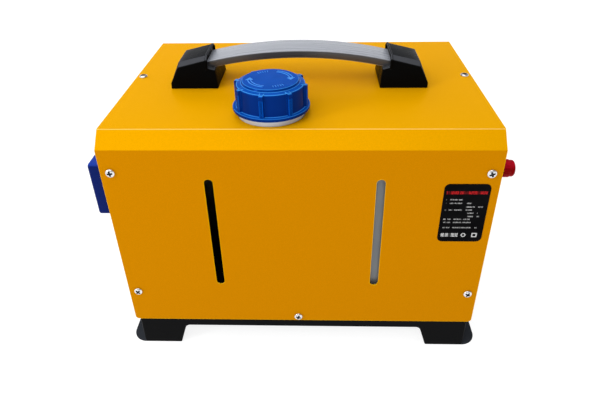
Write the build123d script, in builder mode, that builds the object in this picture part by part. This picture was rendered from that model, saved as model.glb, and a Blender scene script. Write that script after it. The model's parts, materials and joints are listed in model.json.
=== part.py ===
from build123d import *
import math
import os

# Diesel air heater in a carrying case. Millimetres. Origin on the floor at the centre of the case's
# footprint: +X along the case, +Y towards its back, +Z up. The slotted front faces -Y.

# ---------------------------------------------------------------- driving dimensions
# Case
CASE_LENGTH = 390.0  # over the cover, X
CASE_DEPTH = 294.0  # over the cover, Y
CASE_TOP = 280.0  # top of the cover above the floor
COVER_BOTTOM = 40.0  # lower edge of the cover, and top of the tray's floor
FOLD = 15.5  # leg of the 45 degree folds along the top edges
SHEET = 1.2  # cover and panel sheet
BEND = 2.2  # outer bend radius
COVER_CORNER = 4.0  # rounded lower corners of the front and back
PANEL_RECESS = 2.6  # end panels sit back from the cover's edges
FLANGE = 15.0  # width of the end panels' flanges
FLANGE_STOP = 5.0  # flanges stop short of the folds and corners
SLOT_WIDTH = 9.0
SLOT_LENGTH = 137.0
SLOT_Z = 164.0
SLOT_LEFT_X = -89.5
SLOT_RIGHT_X = 80.0
PLATE_WIDTH = 45.3  # rating plate
PLATE_HEIGHT = 70.5
PLATE_CORNER = 6.0
PLATE_THICKNESS = 0.3
PLATE_X = 164.4
PLATE_Z = 192.8

# M5 pan-head screws
SCREW_HEAD_R = 4.7
SCREW_HEAD_H = 2.8
SCREW_R = 2.5
SCREW_LENGTH = 5.8
SCREW_HOLE_R = 2.7
NUT_R = 3.6
NUT_H = 2.6
SCREW_EDGE = 10.5  # front and back screws, in from the cover's ends
TOP_SCREW_EDGE = 8.2
SCREW_HIGH_Z = 240.0
SCREW_LOW_Z = 84.0
TOP_SCREW_Y = 4.6
BASE_SCREW_X = -4.0
BASE_SCREW_RISE = 6.5  # base screws above the cover's lower edge
END_SCREW_IN = 4.0  # end panels' screws, in from the heater's back face

# Base tray
TRAY_SHEET = 1.5
TRAY_RIM = 16.0  # rim standing up inside the cover
TRAY_RIM_END = 20.0  # rim stops short of the corners
FOOT_LENGTH = 44.7  # feet along the front and back
END_FOOT_LENGTH = 56.0  # and along the ends
FOOT_SPLAY = 9.2  # the foot widens by this up to the cut-out's top
FOOT_CORNER = 2.5
CUTOUT_HEIGHT = 28.8
CUTOUT_FILLET = 6.0
EAR_REACH = 15.8  # mounting ears beyond the end skirts
EAR_CORNER = 17.0
EAR_INNER_CORNER = 3.0
EAR_HOLE_R = 3.25
EAR_HOLE_X = 199.3
EAR_HOLE_Y = 106.0

# Handle
HANDLE_X = -3.3
HANDLE_Y = -1.5
BAR_WIDTH = 40.0
BAR_THICKNESS = 8.6
BAR_TOP = 319.4
BAR_RADIUS = 446.6
BAR_HALF_SPAN = 125.0
BAR_EDGE = 1.2
END_DEPTH = 55.0
END_OUTER = 141.8  # outer foot of a handle end, from the handle's centre
END_SHOULDER = 132.7
END_MOUTH = 101.3
END_LIP = 91.7
END_INNER = 89.4
END_KICK_H = 6.0
END_SHOULDER_H = 27.3
END_MOUTH_H = 34.9
END_CHAMFER_TOP = 7.5  # chamfer's width on the sloped top
END_CHAMFER_SIDE = 4.0  # and down the side
END_FLARE = 3.0  # front and back faces spread by this down to the base
BAR_SLOT_GAP = 0.1  # around the bar's end
BAR_HOLE_DEPTH = 5.0
HANDLE_BOLT_OUT = 118.0
HANDLE_BOLT_PITCH = 24.0
M6_R = 3.0
M6_HOLE_R = 3.3
M6_HEX_R = 5.6
M6_NUT_H = 5.0

# Fuel tank and cap
TANK_GAP = 4.5  # tank to cover, front
TANK_LEFT = -66.0
TANK_LENGTH = 216.0
TANK_DEPTH = 96.0
TANK_TOP_GAP = 16.8  # tank to the cover's top
TANK_WALL = 3.0
TANK_CORNER = 12.0
NECK_X = -28.5
COLLAR_R = 33.7
COLLAR_RISE = 5.6  # collar above the cover
NECK_R = 29.6
NECK_BORE_R = 24.0
NECK_RISE = 25.0  # neck above the cover
NECK_THREAD_H = 0.6
FILLER_HOLE_GAP = 0.8
CAP_CLEARANCE = 0.3
CAP_R = 34.6
CAP_FLANGE_R = 38.9
CAP_FLANGE_H = 3.2
CAP_RISE = 6.4  # underside of the cap's flange above the cover
CAP_SHOULDER = 25.8  # from the flange's underside up to the shoulder
CAP_DISC_R = 28.4
CAP_DISC_H = 3.0
CAP_RIBS = 8
CAP_RIB_WIDTH = 5.5
CAP_RIB_R = 37.2
CAP_RIB_ANGLE = 34.5
CAP_MARK_R = 20.5
CAP_MARK_H = 0.5
SEAL_THICKNESS = 2.4
SEAL_GAP = 0.2
STRAP_INSET = 38.0  # strap's centre in from the tank's right end
STRAP_WIDTH = 20.0
STRAP_SHEET = 1.5
STRAP_FOOT = 10.0

# Fuel line parts
OUTLET_RISE = 20.0  # tank outlet above the tank's bottom
BARB_R = 2.5
HOSE_R = 4.5
FILTER_R = 12.0
FILTER_BODY = 30.0
FILTER_GAP = 26.0  # tank wall to filter body
BARB_LENGTH = 12.0
PUMP_X = -155.0
PUMP_R = 14.0
PUMP_BOTTOM = 112.0
PUMP_BODY = 66.0
PUMP_BORE_R = 5.0
PLUNGER_CLEARANCE = 0.05
PLUNGER_LENGTH = 25.0
PLUNGER_SPACE = 35.0
HOSE_BEND = 20.0
LINE_R = 2.0
LINE_BORE_R = 1.0
CLAMP_WIDTH = 20.0
CLAMP_WALL = 3.0

# Divider between the tank and the heater
DIVIDER_GAP = 13.3  # behind the tank
DIVIDER_FLANGE = 12.0
DIVIDER_TOP_GAP = 1.8
DIVIDER_END_GAP = 0.3  # to the tray rims

# Heater
HEATER_Y = 55.0
SHELL_WIDTH = 140.0
SHELL_HEIGHT = 146.0
SHELL_CORNER = 25.0
SHELL_WALL = 2.5
SHELL_LEFT = -150.0
SHELL_RIGHT = 128.0
GASKET = 2.0
GASKET_RIM = 8.0
FOOT_LEFT = -44.0
FOOT_HALF_WIDTH = 39.0
FOOT_HEIGHT = 32.0
OUTLET_R = 37.5
OUTLET_BORE_R = 35.0
OUTLET_REACH = 27.6  # hot-air stub beyond the left panel
OUTLET_HOLE_GAP = 2.0
DUCT_STOP_H = 1.8  # collar that the duct is pushed up to
DUCT_STOP_WIDTH = 2.0
HOOD_DEPTH = 18.0
EXCHANGER_LEFT = -140.0
EXCHANGER_RIGHT = 40.0
EXCHANGER_FLANGE = 10.0
EXCHANGER_CORE_R = 46.0
EXCHANGER_BORE_R = 40.0
EXCHANGER_END_WALL = 8.0
FIN_COUNT = 36
FIN_THICKNESS = 2.6
FIN_GAP = 2.0
CASTING_GAP = 7.5  # castings to the shells
CASTING_CORNER = 20.0
BURNER_R = 30.0
BURNER_WALL = 2.0
BURNER_LENGTH = 108.0
BURNER_FLANGE_R = 46.0
BURNER_FLANGE = 2.0
BLOWER_LENGTH = 32.0
BLOWER_WALL = 6.0
BLOWER_BORE_R = 42.0
WHEEL_R = 38.0
WHEEL_BLADES = 12
MOTOR_FLANGE_R = 50.0
MOTOR_FLANGE = 4.0
MOTOR_R = 29.0
MOTOR_LENGTH = 48.0
SHAFT_R = 4.0
SHAFT_CLEARANCE = 0.05
FAN_R = 50.0
FAN_HUB_R = 13.0
FAN_WIDTH = 26.0
FAN_BLADES = 9
FAN_PITCH = 38.0
FAN_GAP = 6.0  # motor to fan
SHROUD_GAP = 3.0
GUARD_R = 62.0
GUARD_BAR = 2.6
GUARD_THICKNESS = 3.2
GUARD_RINGS = (12.0, 25.0, 38.0)
GUARD_SPOKES = 8
INLET_HOLE_R = 52.0
EXHAUST_X = -20.0
EXHAUST_R = 12.0
EXHAUST_WALL = 1.2
INTAKE_X = 60.0
INTAKE_R = 12.5
INTAKE_WALL = 2.0
PIPE_Z = 13.0
PIPE_BEND = 16.0
PIPE_REACH = 18.0  # pipe ends beyond the back of the cover
PIPE_SOCKET = 10.0
HOSE_STOP_WIDTH = 2.0  # bead that a hose is pushed up to
HOSE_STOP_GAP = 0.5  # from the cover's back
EXHAUST_STOP_H = 0.8
INTAKE_STOP_H = 0.4
GLOW_X = 20.0
SENSOR_X = -60.0
SENSOR_BASE_H = 4.0
SENSOR_CAP_H = 4.0
SENSOR_HEAD_GAP = 5.5  # sensor to the upper shell
GLOW_HEX_H = 9.0
GLOW_PIN_H = 6.0
GLOW_HEAD_GAP = 4.5  # plug to the upper shell
GLOW_REACH = 10.0  # plug's tip inside the burner
FEED_REACH = 10.0  # fuel feed's hole short of the axis
WHEEL_GAP = 5.0  # combustion wheel to the blower's walls
WHEEL_HUB = 4.0  # hub's wall around the shaft
UNIT_LENGTH = 42.0
UNIT_WIDTH = 86.0
UNIT_HEIGHT = 30.0

# Controller on the left end panel
CONTROL_WIDTH = 86.0
CONTROL_HEIGHT = 62.0
CONTROL_DEPTH = 23.6
CONTROL_CORNER = 4.0
CONTROL_EDGE = 2.5
CONTROL_WALL = 5.0
CONTROL_FRONT_Y = -128.0
CONTROL_BOTTOM = 176.0
FACE_RECESS = 0.6
FACE_THICKNESS = 1.4
LCD_WIDTH = 40.0
LCD_HEIGHT = 30.0
LCD_OFFSET = 11.0
BUTTON_R = 4.2
BUTTON_GAP = 0.3
BUTTON_TRAVEL = 0.8
BUTTON_PROUD = 1.3
BUTTON_PITCH_Y = 12.5
BUTTON_PITCH_Z = 18.0
BUTTON_OFFSET = -22.5
BOARD_THICKNESS = 1.6
CABLE_HOLE_R = 6.0

# Screw terminals on the right end panel
POSITIVE_Y = -123.0
NEGATIVE_Y = -88.0
TERMINAL_Z = 231.7
TERMINAL_R = 9.2
TERMINAL_BASE = 3.6
TERMINAL_BOSS_R = 6.0
WASHER_R = 7.5
WASHER_T = 1.0
TERMINAL_GAP = 0.1
TERMINAL_ROOT = 10.8
TERMINAL_HEAD_R = 8.5
TERMINAL_HEAD = 5.6
TERMINAL_GRIPS = 18
POST_TAIL = 14.0  # post inside the right panel
POST_TIP_GAP = 4.7  # post's tip to the cap's end
BOSS_REACH = 1.5  # insulator's boss inside the panel
BOSS_GAP = 0.1
LEAD_R = 1.8
LEAD_BEND = 8.0  # bend radius of the leads
LEAD_LEVEL = 212.0
POSITIVE_RUN_GAP = 8.2  # tank's right end to the power leads that run back past it
NEGATIVE_RUN_GAP = 14.7
POSITIVE_ENTRY = (118.0, 20.0)  # X and Y where each lead goes down to the control unit
NEGATIVE_ENTRY = (110.0, 28.0)
CONTROL_ENTRY = (98.0, 14.0)
PUMP_ENTRY = (90.0, 22.0)

# ---------------------------------------------------------------- derived places
COVER_END = CASE_LENGTH / 2
COVER_SIDE = CASE_DEPTH / 2
INNER_SIDE = COVER_SIDE - SHEET
INNER_TOP = CASE_TOP - SHEET
PANEL_FACE = COVER_END - PANEL_RECESS
PANEL_INNER = PANEL_FACE - SHEET
FLANGE_END = PANEL_INNER - FLANGE
TRAY_UNDER = COVER_BOTTOM - TRAY_SHEET
TANK_RIGHT = TANK_LEFT + TANK_LENGTH
TANK_FRONT = -INNER_SIDE + TANK_GAP
TANK_BACK = TANK_FRONT + TANK_DEPTH
NECK_Y = (TANK_FRONT + TANK_BACK) / 2
TANK_TOP = INNER_TOP - TANK_TOP_GAP
NECK_TOP = CASE_TOP + NECK_RISE
CAP_UNDER = CASE_TOP + CAP_RISE
CAP_TOP = CAP_UNDER + CAP_SHOULDER + CAP_DISC_H
SEAL_BOTTOM = NECK_TOP + SEAL_GAP
SEAL_TOP = SEAL_BOTTOM + SEAL_THICKNESS
CAP_INNER_TOP = SEAL_TOP + SEAL_GAP
FUEL_Z = COVER_BOTTOM + OUTLET_RISE
FILTER_RIGHT = TANK_LEFT - FILTER_GAP
FILTER_LEFT = FILTER_RIGHT - FILTER_BODY
PUMP_TOP = PUMP_BOTTOM + PUMP_BODY
DIVIDER_Y = TANK_BACK + DIVIDER_GAP
SHELL_BOTTOM = COVER_BOTTOM + GASKET
HEATER_Z = SHELL_BOTTOM + SHELL_HEIGHT / 2
SHELL_TOP = SHELL_BOTTOM + SHELL_HEIGHT
CASTING_WIDTH = SHELL_WIDTH - 2 * (SHELL_WALL + CASTING_GAP)
CASTING_HEIGHT = SHELL_HEIGHT - 2 * (SHELL_WALL + CASTING_GAP)
STRAP_X = TANK_RIGHT - STRAP_INSET
BLOWER_LEFT = EXCHANGER_RIGHT + BURNER_FLANGE
BLOWER_RIGHT = BLOWER_LEFT + BLOWER_LENGTH
FOOT_RIGHT = BLOWER_RIGHT
MOTOR_RIGHT = BLOWER_RIGHT + MOTOR_FLANGE + MOTOR_LENGTH
FAN_LEFT = MOTOR_RIGHT + FAN_GAP
FAN_RIGHT = FAN_LEFT + FAN_WIDTH
SHROUD_R = FAN_R + SHROUD_GAP
STUD_X = (FOOT_LEFT + 8.0, FOOT_RIGHT - 8.0)
STUD_Y = (HEATER_Y - FOOT_HALF_WIDTH + 8.0, HEATER_Y + FOOT_HALF_WIDTH - 8.0)
CONTROL_Y = CONTROL_FRONT_Y + CONTROL_WIDTH / 2
CONTROL_Z = CONTROL_BOTTOM + CONTROL_HEIGHT / 2
CONTROL_FRONT = -PANEL_FACE - CONTROL_DEPTH
FACE_OUTER = CONTROL_FRONT + FACE_RECESS
FACE_INNER = FACE_OUTER + FACE_THICKNESS
LEAD_TOP = SHELL_TOP + 12.0
BAR_UNDER_R = BAR_RADIUS - BAR_THICKNESS
BAR_CENTRE = (HANDLE_X, BAR_TOP - BAR_RADIUS)
BAR_SWING = math.degrees(math.asin(BAR_HALF_SPAN / BAR_RADIUS))
HOSE_STOP_Y = COVER_SIDE + HOSE_STOP_GAP
HOSE_STOP_END = HOSE_STOP_Y + HOSE_STOP_WIDTH

os.makedirs("parts", exist_ok=True)


# ---------------------------------------------------------------- helpers
def block(x0, x1, y0, y1, z0, z1, mode=Mode.ADD):
    """A box between six planes."""
    with Locations(((x0 + x1) / 2, (y0 + y1) / 2, (z0 + z1) / 2)):
        return Box(x1 - x0, y1 - y0, z1 - z0, mode=mode)


def rod_x(y, z, x0, x1, radius, mode=Mode.ADD):
    """A round bar along X."""
    with Locations(((x0 + x1) / 2, y, z)):
        return Cylinder(radius, x1 - x0, rotation=(0, 90, 0), mode=mode)


def rod_y(x, z, y0, y1, radius, mode=Mode.ADD):
    """A round bar along Y."""
    with Locations((x, (y0 + y1) / 2, z)):
        return Cylinder(radius, y1 - y0, rotation=(90, 0, 0), mode=mode)


def rod_z(x, y, z0, z1, radius, mode=Mode.ADD):
    """A round bar along Z."""
    with Locations((x, y, (z0 + z1) / 2)):
        return Cylinder(radius, z1 - z0, mode=mode)


def case_outline(inset):
    """The cover's cross-section in Y and Z, moved inwards by inset, from front foot to back foot."""
    side = COVER_SIDE - inset
    top = CASE_TOP - inset
    shift = inset * math.tan(math.radians(22.5))
    knee = CASE_TOP - FOLD - shift
    edge = COVER_SIDE - FOLD - shift
    return [
        (-side, COVER_BOTTOM),
        (-side, knee),
        (-edge, top),
        (edge, top),
        (side, knee),
        (side, COVER_BOTTOM),
    ]


def case_section(inset, bottom=COVER_BOTTOM, mode=Mode.ADD):
    """The closed face inside case_outline(inset), for a sketch on a YZ plane."""
    points = case_outline(inset)
    points[0] = (points[0][0], bottom)
    points[-1] = (points[-1][0], bottom)
    with BuildLine() as outline:
        FilletPolyline(*points, radius=BEND - inset)
        Line(points[-1], points[0])
    make_face(outline.edges(), mode=mode)


def bar_height(offset, depth):
    """Height on the handle bar at offset from its centre and depth below its top face."""
    radius = BAR_RADIUS - depth
    return BAR_TOP - BAR_RADIUS + math.sqrt(radius**2 - offset**2)


def write(name, label):
    """Label a finished piece and write it."""
    name.part.label = label
    export_step(name.part, f"parts/{label}.step")


def tube(route, radii, outer, inner):
    """A round tube, or a solid lead when inner is 0, along straight runs joined by arcs."""
    with BuildLine() as path:
        FilletPolyline(*route, radius=radii)
    with BuildSketch(Plane(origin=route[0], z_dir=path.line % 0)) as section:
        Circle(outer)
        if inner:
            Circle(inner, mode=Mode.SUBTRACT)
    sweep(section.sketch, path=path.line)


# ---------------------------------------------------------------- screws and nuts
FRONT_SCREWS = [
    (sign * (COVER_END - SCREW_EDGE), height) for sign in (-1, 1) for height in (SCREW_LOW_Z, SCREW_HIGH_Z)
]
BASE_SCREW_Z = COVER_BOTTOM + BASE_SCREW_RISE
TOP_SCREWS = [(sign * (COVER_END - TOP_SCREW_EDGE), TOP_SCREW_Y) for sign in (-1, 1)]
END_SCREW_Y = HEATER_Y + SHELL_WIDTH / 2 - END_SCREW_IN
END_SCREWS = [(sign * END_SCREW_Y, BASE_SCREW_Z) for sign in (-1, 1)]


def screw_seats():
    """Each screw's seat as a plane whose Z points out of the case, and the sheets it clamps."""
    seats = []
    for side in (-1, 1):
        outward = (0, side, 0)
        for x, z in FRONT_SCREWS:
            seats.append((Plane(origin=(x, side * COVER_SIDE, z), z_dir=outward), 2 * SHEET))
        base = (BASE_SCREW_X, side * COVER_SIDE, BASE_SCREW_Z)
        seats.append((Plane(origin=base, z_dir=outward), SHEET + TRAY_SHEET))
        for y, z in END_SCREWS:
            seat = Plane(origin=(side * PANEL_FACE, y, z), z_dir=(side, 0, 0))
            seats.append((seat, SHEET + TRAY_SHEET))
    for x, y in TOP_SCREWS:
        seats.append((Plane(origin=(x, y, CASE_TOP), z_dir=(0, 0, 1)), 2 * SHEET))
    return seats


with BuildPart() as pan_screw:
    with BuildSketch(Plane.XZ):
        with BuildLine():
            Line((0, 0), (SCREW_HEAD_R, 0))
            Line((SCREW_HEAD_R, 0), (SCREW_HEAD_R, SCREW_HEAD_H * 0.35))
            ThreePointArc(
                (SCREW_HEAD_R, SCREW_HEAD_H * 0.35),
                (SCREW_HEAD_R * 0.78, SCREW_HEAD_H * 0.82),
                (0, SCREW_HEAD_H),
            )
            Line((0, SCREW_HEAD_H), (0, 0))
        make_face()
    revolve(axis=Axis.Z)
    rod_z(0, 0, -SCREW_LENGTH, 0, SCREW_R)
    with Locations((0, 0, SCREW_HEAD_H)):
        for recess in ((1.1, 0.25), (0.25, 1.1)):
            recess_x, recess_y = (2 * SCREW_R * share * 0.95 for share in recess)
            Box(recess_x, recess_y, SCREW_HEAD_H * 1.1, mode=Mode.SUBTRACT)

with BuildPart() as cover_screws:
    for seat, clamped in screw_seats():
        with Locations(seat):
            add(pan_screw.part)
write(cover_screws, "cover_screws")

# ---------------------------------------------------------------- casing
HANDLE_BOLTS = [
    (HANDLE_X + side * HANDLE_BOLT_OUT, HANDLE_Y + row * HANDLE_BOLT_PITCH / 2)
    for side in (-1, 1)
    for row in (-1, 1)
]

with BuildPart() as wrap_cover:
    with BuildSketch(Plane.YZ.offset(-COVER_END)):
        case_section(0)
        case_section(SHEET, bottom=COVER_BOTTOM - SHEET, mode=Mode.SUBTRACT)
    extrude(amount=CASE_LENGTH)
    with BuildSketch(Plane.XZ.offset(COVER_SIDE + SHEET)):
        with Locations((SLOT_LEFT_X, SLOT_Z), (SLOT_RIGHT_X, SLOT_Z)):
            SlotOverall(SLOT_LENGTH, SLOT_WIDTH, rotation=90)
    extrude(amount=-3 * SHEET, mode=Mode.SUBTRACT)
    rod_z(NECK_X, NECK_Y, INNER_TOP - SHEET, CASE_TOP + SHEET, COLLAR_R + FILLER_HOLE_GAP, Mode.SUBTRACT)
    for x, y in HANDLE_BOLTS:
        rod_z(x, y, INNER_TOP - SHEET, CASE_TOP + SHEET, M6_HOLE_R, Mode.SUBTRACT)
    for x, y in TOP_SCREWS:
        rod_z(x, y, INNER_TOP - SHEET, CASE_TOP + SHEET, SCREW_HOLE_R, Mode.SUBTRACT)
    for x, z in FRONT_SCREWS + [(BASE_SCREW_X, BASE_SCREW_Z)]:
        rod_y(x, z, -COVER_SIDE - SHEET, COVER_SIDE + SHEET, SCREW_HOLE_R, Mode.SUBTRACT)
    lower_edges = wrap_cover.edges().filter_by(Axis.Y).group_by(Axis.Z)[0]
    fillet(lower_edges.filter_by(lambda edge: abs((edge % 0.5).Y) > 0.9 and edge.length < 2 * SHEET), COVER_CORNER)
write(wrap_cover, "wrap_cover")


def end_panel(side):
    """An end panel's sheet and flanges, on the side -1 (left) or 1 (right)."""
    near, far = sorted((side * PANEL_INNER, side * PANEL_FACE))
    flange_near, flange_far = sorted((side * FLANGE_END, side * PANEL_INNER))
    with BuildSketch(Plane.YZ.offset(near)) as sheet:
        case_section(SHEET)
    extrude(sheet.sketch, amount=far - near)
    for hand in (-1, 1):
        y0, y1 = sorted((hand * (INNER_SIDE - SHEET), hand * INNER_SIDE))
        block(flange_near, flange_far, y0, y1, COVER_BOTTOM + FLANGE + FLANGE_STOP, CASE_TOP - FOLD - BEND)
    top_reach = COVER_SIDE - FOLD - FLANGE_STOP
    block(flange_near, flange_far, -top_reach, top_reach, INNER_TOP - SHEET, INNER_TOP)
    for x, z in FRONT_SCREWS:
        if x * side > 0:
            rod_y(x, z, -COVER_SIDE, COVER_SIDE, SCREW_HOLE_R, Mode.SUBTRACT)
    for x, y in TOP_SCREWS:
        if x * side > 0:
            rod_z(x, y, INNER_TOP - 2 * SHEET, CASE_TOP, SCREW_HOLE_R, Mode.SUBTRACT)
    for y, z in END_SCREWS:
        rod_x(y, z, near - SHEET, far + SHEET, SCREW_HOLE_R, Mode.SUBTRACT)


with BuildPart() as left_end_panel:
    end_panel(-1)
    rod_x(HEATER_Y, HEATER_Z, -COVER_END, -FLANGE_END, OUTLET_R + OUTLET_HOLE_GAP, Mode.SUBTRACT)
    rod_x(CONTROL_Y, CONTROL_Z, -COVER_END, -FLANGE_END, CABLE_HOLE_R, Mode.SUBTRACT)
write(left_end_panel, "left_end_panel")

with BuildPart() as right_end_panel:
    end_panel(1)
    rod_x(HEATER_Y, HEATER_Z, FLANGE_END, COVER_END, INLET_HOLE_R, Mode.SUBTRACT)
    for y in (POSITIVE_Y, NEGATIVE_Y):
        rod_x(y, TERMINAL_Z, FLANGE_END, COVER_END, TERMINAL_BOSS_R + BOSS_GAP, Mode.SUBTRACT)
write(right_end_panel, "right_end_panel")


def foot_cutout(half_length):
    """The opening between two feet, as a face centred on the sketch's vertical axis."""
    with BuildLine() as outline:
        Polyline(
            (-half_length - 2 * FOOT_CORNER, -1),
            (-half_length - 2 * FOOT_CORNER, 0),
            (-half_length, 0),
            (-half_length + FOOT_SPLAY, CUTOUT_HEIGHT),
            (half_length - FOOT_SPLAY, CUTOUT_HEIGHT),
            (half_length, 0),
            (half_length + 2 * FOOT_CORNER, 0),
            (half_length + 2 * FOOT_CORNER, -1),
            close=True,
        )
    make_face(outline.edges())


def on_floor(vertex):
    """Whether a flat sketch's vertex is a foot's lower corner."""
    return abs(vertex.Y) < 0.001


with BuildPart() as base_tray:
    with BuildSketch():
        RectangleRounded(2 * PANEL_INNER, 2 * INNER_SIDE, BEND)
        inside_tray = (2 * (PANEL_INNER - TRAY_SHEET), 2 * (INNER_SIDE - TRAY_SHEET))
        RectangleRounded(*inside_tray, BEND / 2, mode=Mode.SUBTRACT)
    extrude(amount=COVER_BOTTOM + TRAY_RIM)
    rim_x = PANEL_INNER - TRAY_RIM_END
    rim_y = INNER_SIDE - TRAY_RIM_END
    for hand_x in (-1, 1):
        for hand_y in (-1, 1):
            x0, x1 = sorted((hand_x * rim_x, hand_x * COVER_END))
            y0, y1 = sorted((hand_y * rim_y, hand_y * COVER_SIDE))
            block(x0, x1, y0, y1, COVER_BOTTOM, COVER_BOTTOM + 2 * TRAY_RIM, Mode.SUBTRACT)
    with BuildSketch(Plane.XZ.offset(-COVER_SIDE)) as front_cutout:
        foot_cutout(PANEL_INNER - FOOT_LENGTH)
        fillet(front_cutout.vertices().group_by(Axis.Y)[-1], CUTOUT_FILLET)
        floor_corners = front_cutout.vertices().filter_by(on_floor)
        fillet(floor_corners.sort_by(lambda vertex: abs(vertex.X))[:2], FOOT_CORNER)
    extrude(amount=CASE_DEPTH, mode=Mode.SUBTRACT)
    with BuildSketch(Plane.YZ.offset(-COVER_END)) as end_cutout:
        foot_cutout(INNER_SIDE - END_FOOT_LENGTH)
        fillet(end_cutout.vertices().group_by(Axis.Y)[-1], CUTOUT_FILLET)
    extrude(amount=CASE_LENGTH, mode=Mode.SUBTRACT)
    floor_x = PANEL_INNER - TRAY_SHEET / 2
    floor_y = INNER_SIDE - TRAY_SHEET / 2
    block(-floor_x, floor_x, -floor_y, floor_y, TRAY_UNDER, COVER_BOTTOM)
    ear_x = PANEL_INNER + EAR_REACH
    for hand_x in (-1, 1):
        for hand_y in (-1, 1):
            with BuildSketch() as ear:
                with BuildLine():
                    root = hand_x * (PANEL_INNER - TRAY_SHEET)
                    tip = hand_x * ear_x
                    outside = hand_y * INNER_SIDE
                    inside = hand_y * (INNER_SIDE - END_FOOT_LENGTH)
                    FilletPolyline(
                        (root, outside),
                        (tip, outside),
                        (tip, inside),
                        (root, inside),
                        radius=[EAR_CORNER, EAR_INNER_CORNER],
                    )
                    Line((root, inside), (root, outside))
                make_face()
                with Locations((hand_x * EAR_HOLE_X, hand_y * EAR_HOLE_Y)):
                    Circle(EAR_HOLE_R, mode=Mode.SUBTRACT)
            extrude(amount=TRAY_SHEET)
    rod_z(EXHAUST_X, HEATER_Y, TRAY_UNDER - 1, COVER_BOTTOM + 1, EXHAUST_R + 1, Mode.SUBTRACT)
    rod_z(INTAKE_X, HEATER_Y, TRAY_UNDER - 1, COVER_BOTTOM + 1, INTAKE_R + 1, Mode.SUBTRACT)
    for x in STUD_X:
        for y in STUD_Y:
            rod_z(x, y, TRAY_UNDER - 1, COVER_BOTTOM + 1, M6_HOLE_R, Mode.SUBTRACT)
    rod_y(BASE_SCREW_X, BASE_SCREW_Z, -COVER_SIDE, COVER_SIDE, SCREW_HOLE_R, Mode.SUBTRACT)
    for y, z in END_SCREWS:
        rod_x(y, z, -COVER_END, COVER_END, SCREW_HOLE_R, Mode.SUBTRACT)
write(base_tray, "base_tray")

with BuildPart() as rating_plate:
    with BuildSketch(Plane.XZ.offset(COVER_SIDE)):
        with Locations((PLATE_X, PLATE_Z)):
            RectangleRounded(PLATE_WIDTH, PLATE_HEIGHT, PLATE_CORNER)
    extrude(amount=PLATE_THICKNESS)
write(rating_plate, "rating_plate")

# ---------------------------------------------------------------- handle
with BuildPart() as handle_bar:
    with BuildSketch(Plane.XZ.offset(-HANDLE_Y - BAR_WIDTH / 2)):
        with BuildLine():
            upper = CenterArc(BAR_CENTRE, BAR_RADIUS, 90 - BAR_SWING, 2 * BAR_SWING)
            lower = CenterArc(BAR_CENTRE, BAR_UNDER_R, 90 - BAR_SWING, 2 * BAR_SWING)
            Line(upper @ 0, lower @ 0)
            Line(upper @ 1, lower @ 1)
        make_face()
    extrude(amount=BAR_WIDTH)
    fillet(handle_bar.edges().filter_by(GeomType.CIRCLE), BAR_EDGE)
    for x, y in HANDLE_BOLTS:
        under = bar_height(HANDLE_BOLT_OUT, BAR_THICKNESS)
        rod_z(x, y, under - BAR_HOLE_DEPTH, under + BAR_HOLE_DEPTH, M6_R, Mode.SUBTRACT)
write(handle_bar, "handle_bar")

with BuildPart() as handle_end_left:
    with BuildSketch(Plane.XZ.offset(-HANDLE_Y - END_DEPTH / 2 - END_FLARE)):
        with BuildLine():
            Polyline(
                (HANDLE_X - END_OUTER, CASE_TOP),
                (HANDLE_X - END_OUTER, CASE_TOP + END_KICK_H),
                (HANDLE_X - END_SHOULDER, CASE_TOP + END_SHOULDER_H),
                (HANDLE_X - END_MOUTH, CASE_TOP + END_MOUTH_H),
                (HANDLE_X - END_MOUTH, bar_height(END_MOUTH, BAR_THICKNESS / 2)),
                (HANDLE_X - END_LIP, bar_height(END_LIP, BAR_THICKNESS / 2)),
                (HANDLE_X - END_INNER, CASE_TOP),
                close=True,
            )
        make_face()
    extrude(amount=END_DEPTH + 2 * END_FLARE)
    for hand in (-1, 1):
        upright = HANDLE_Y + hand * END_DEPTH / 2
        beyond = upright + hand * (END_FLARE + 1)
        with BuildSketch(Plane.YZ.offset(HANDLE_X - END_OUTER - 1)) as flare:
            Polygon(
                (upright + hand * END_FLARE, CASE_TOP),
                (upright, CASE_TOP + END_SHOULDER_H),
                (upright, CASE_TOP + END_MOUTH_H + 1),
                (beyond, CASE_TOP + END_MOUTH_H + 1),
                (beyond, CASE_TOP),
                align=None,
            )
        extrude(amount=END_OUTER, mode=Mode.SUBTRACT)
    slope = handle_end_left.faces().filter_by(Axis.Z, reverse=True).sort_by(Axis.Z)[-1]
    sides = slope.edges().filter_by(lambda edge: abs((edge % 0.5).Y) < 0.1)
    chamfer(sides, END_CHAMFER_TOP, END_CHAMFER_SIDE, reference=slope)
    with BuildSketch(Plane.XZ.offset(-HANDLE_Y - BAR_WIDTH / 2 - BAR_SLOT_GAP)):
        with BuildLine():
            upper = CenterArc(BAR_CENTRE, BAR_RADIUS + BAR_SLOT_GAP, 90, BAR_SWING)
            lower = CenterArc(BAR_CENTRE, BAR_UNDER_R, 90, BAR_SWING)
            Line(upper @ 0, lower @ 0)
            Line(upper @ 1, lower @ 1)
        make_face()
    extrude(amount=BAR_WIDTH + 2 * BAR_SLOT_GAP, mode=Mode.SUBTRACT)
    for x, y in HANDLE_BOLTS[:2]:
        rod_z(x, y, CASE_TOP, CASE_TOP + END_KICK_H * 3, M6_HOLE_R, Mode.SUBTRACT)
write(handle_end_left, "handle_end_left")

with BuildPart() as handle_end_right:
    mirror(handle_end_left.part, about=Plane.YZ.offset(HANDLE_X))
write(handle_end_right, "handle_end_right")

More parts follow.
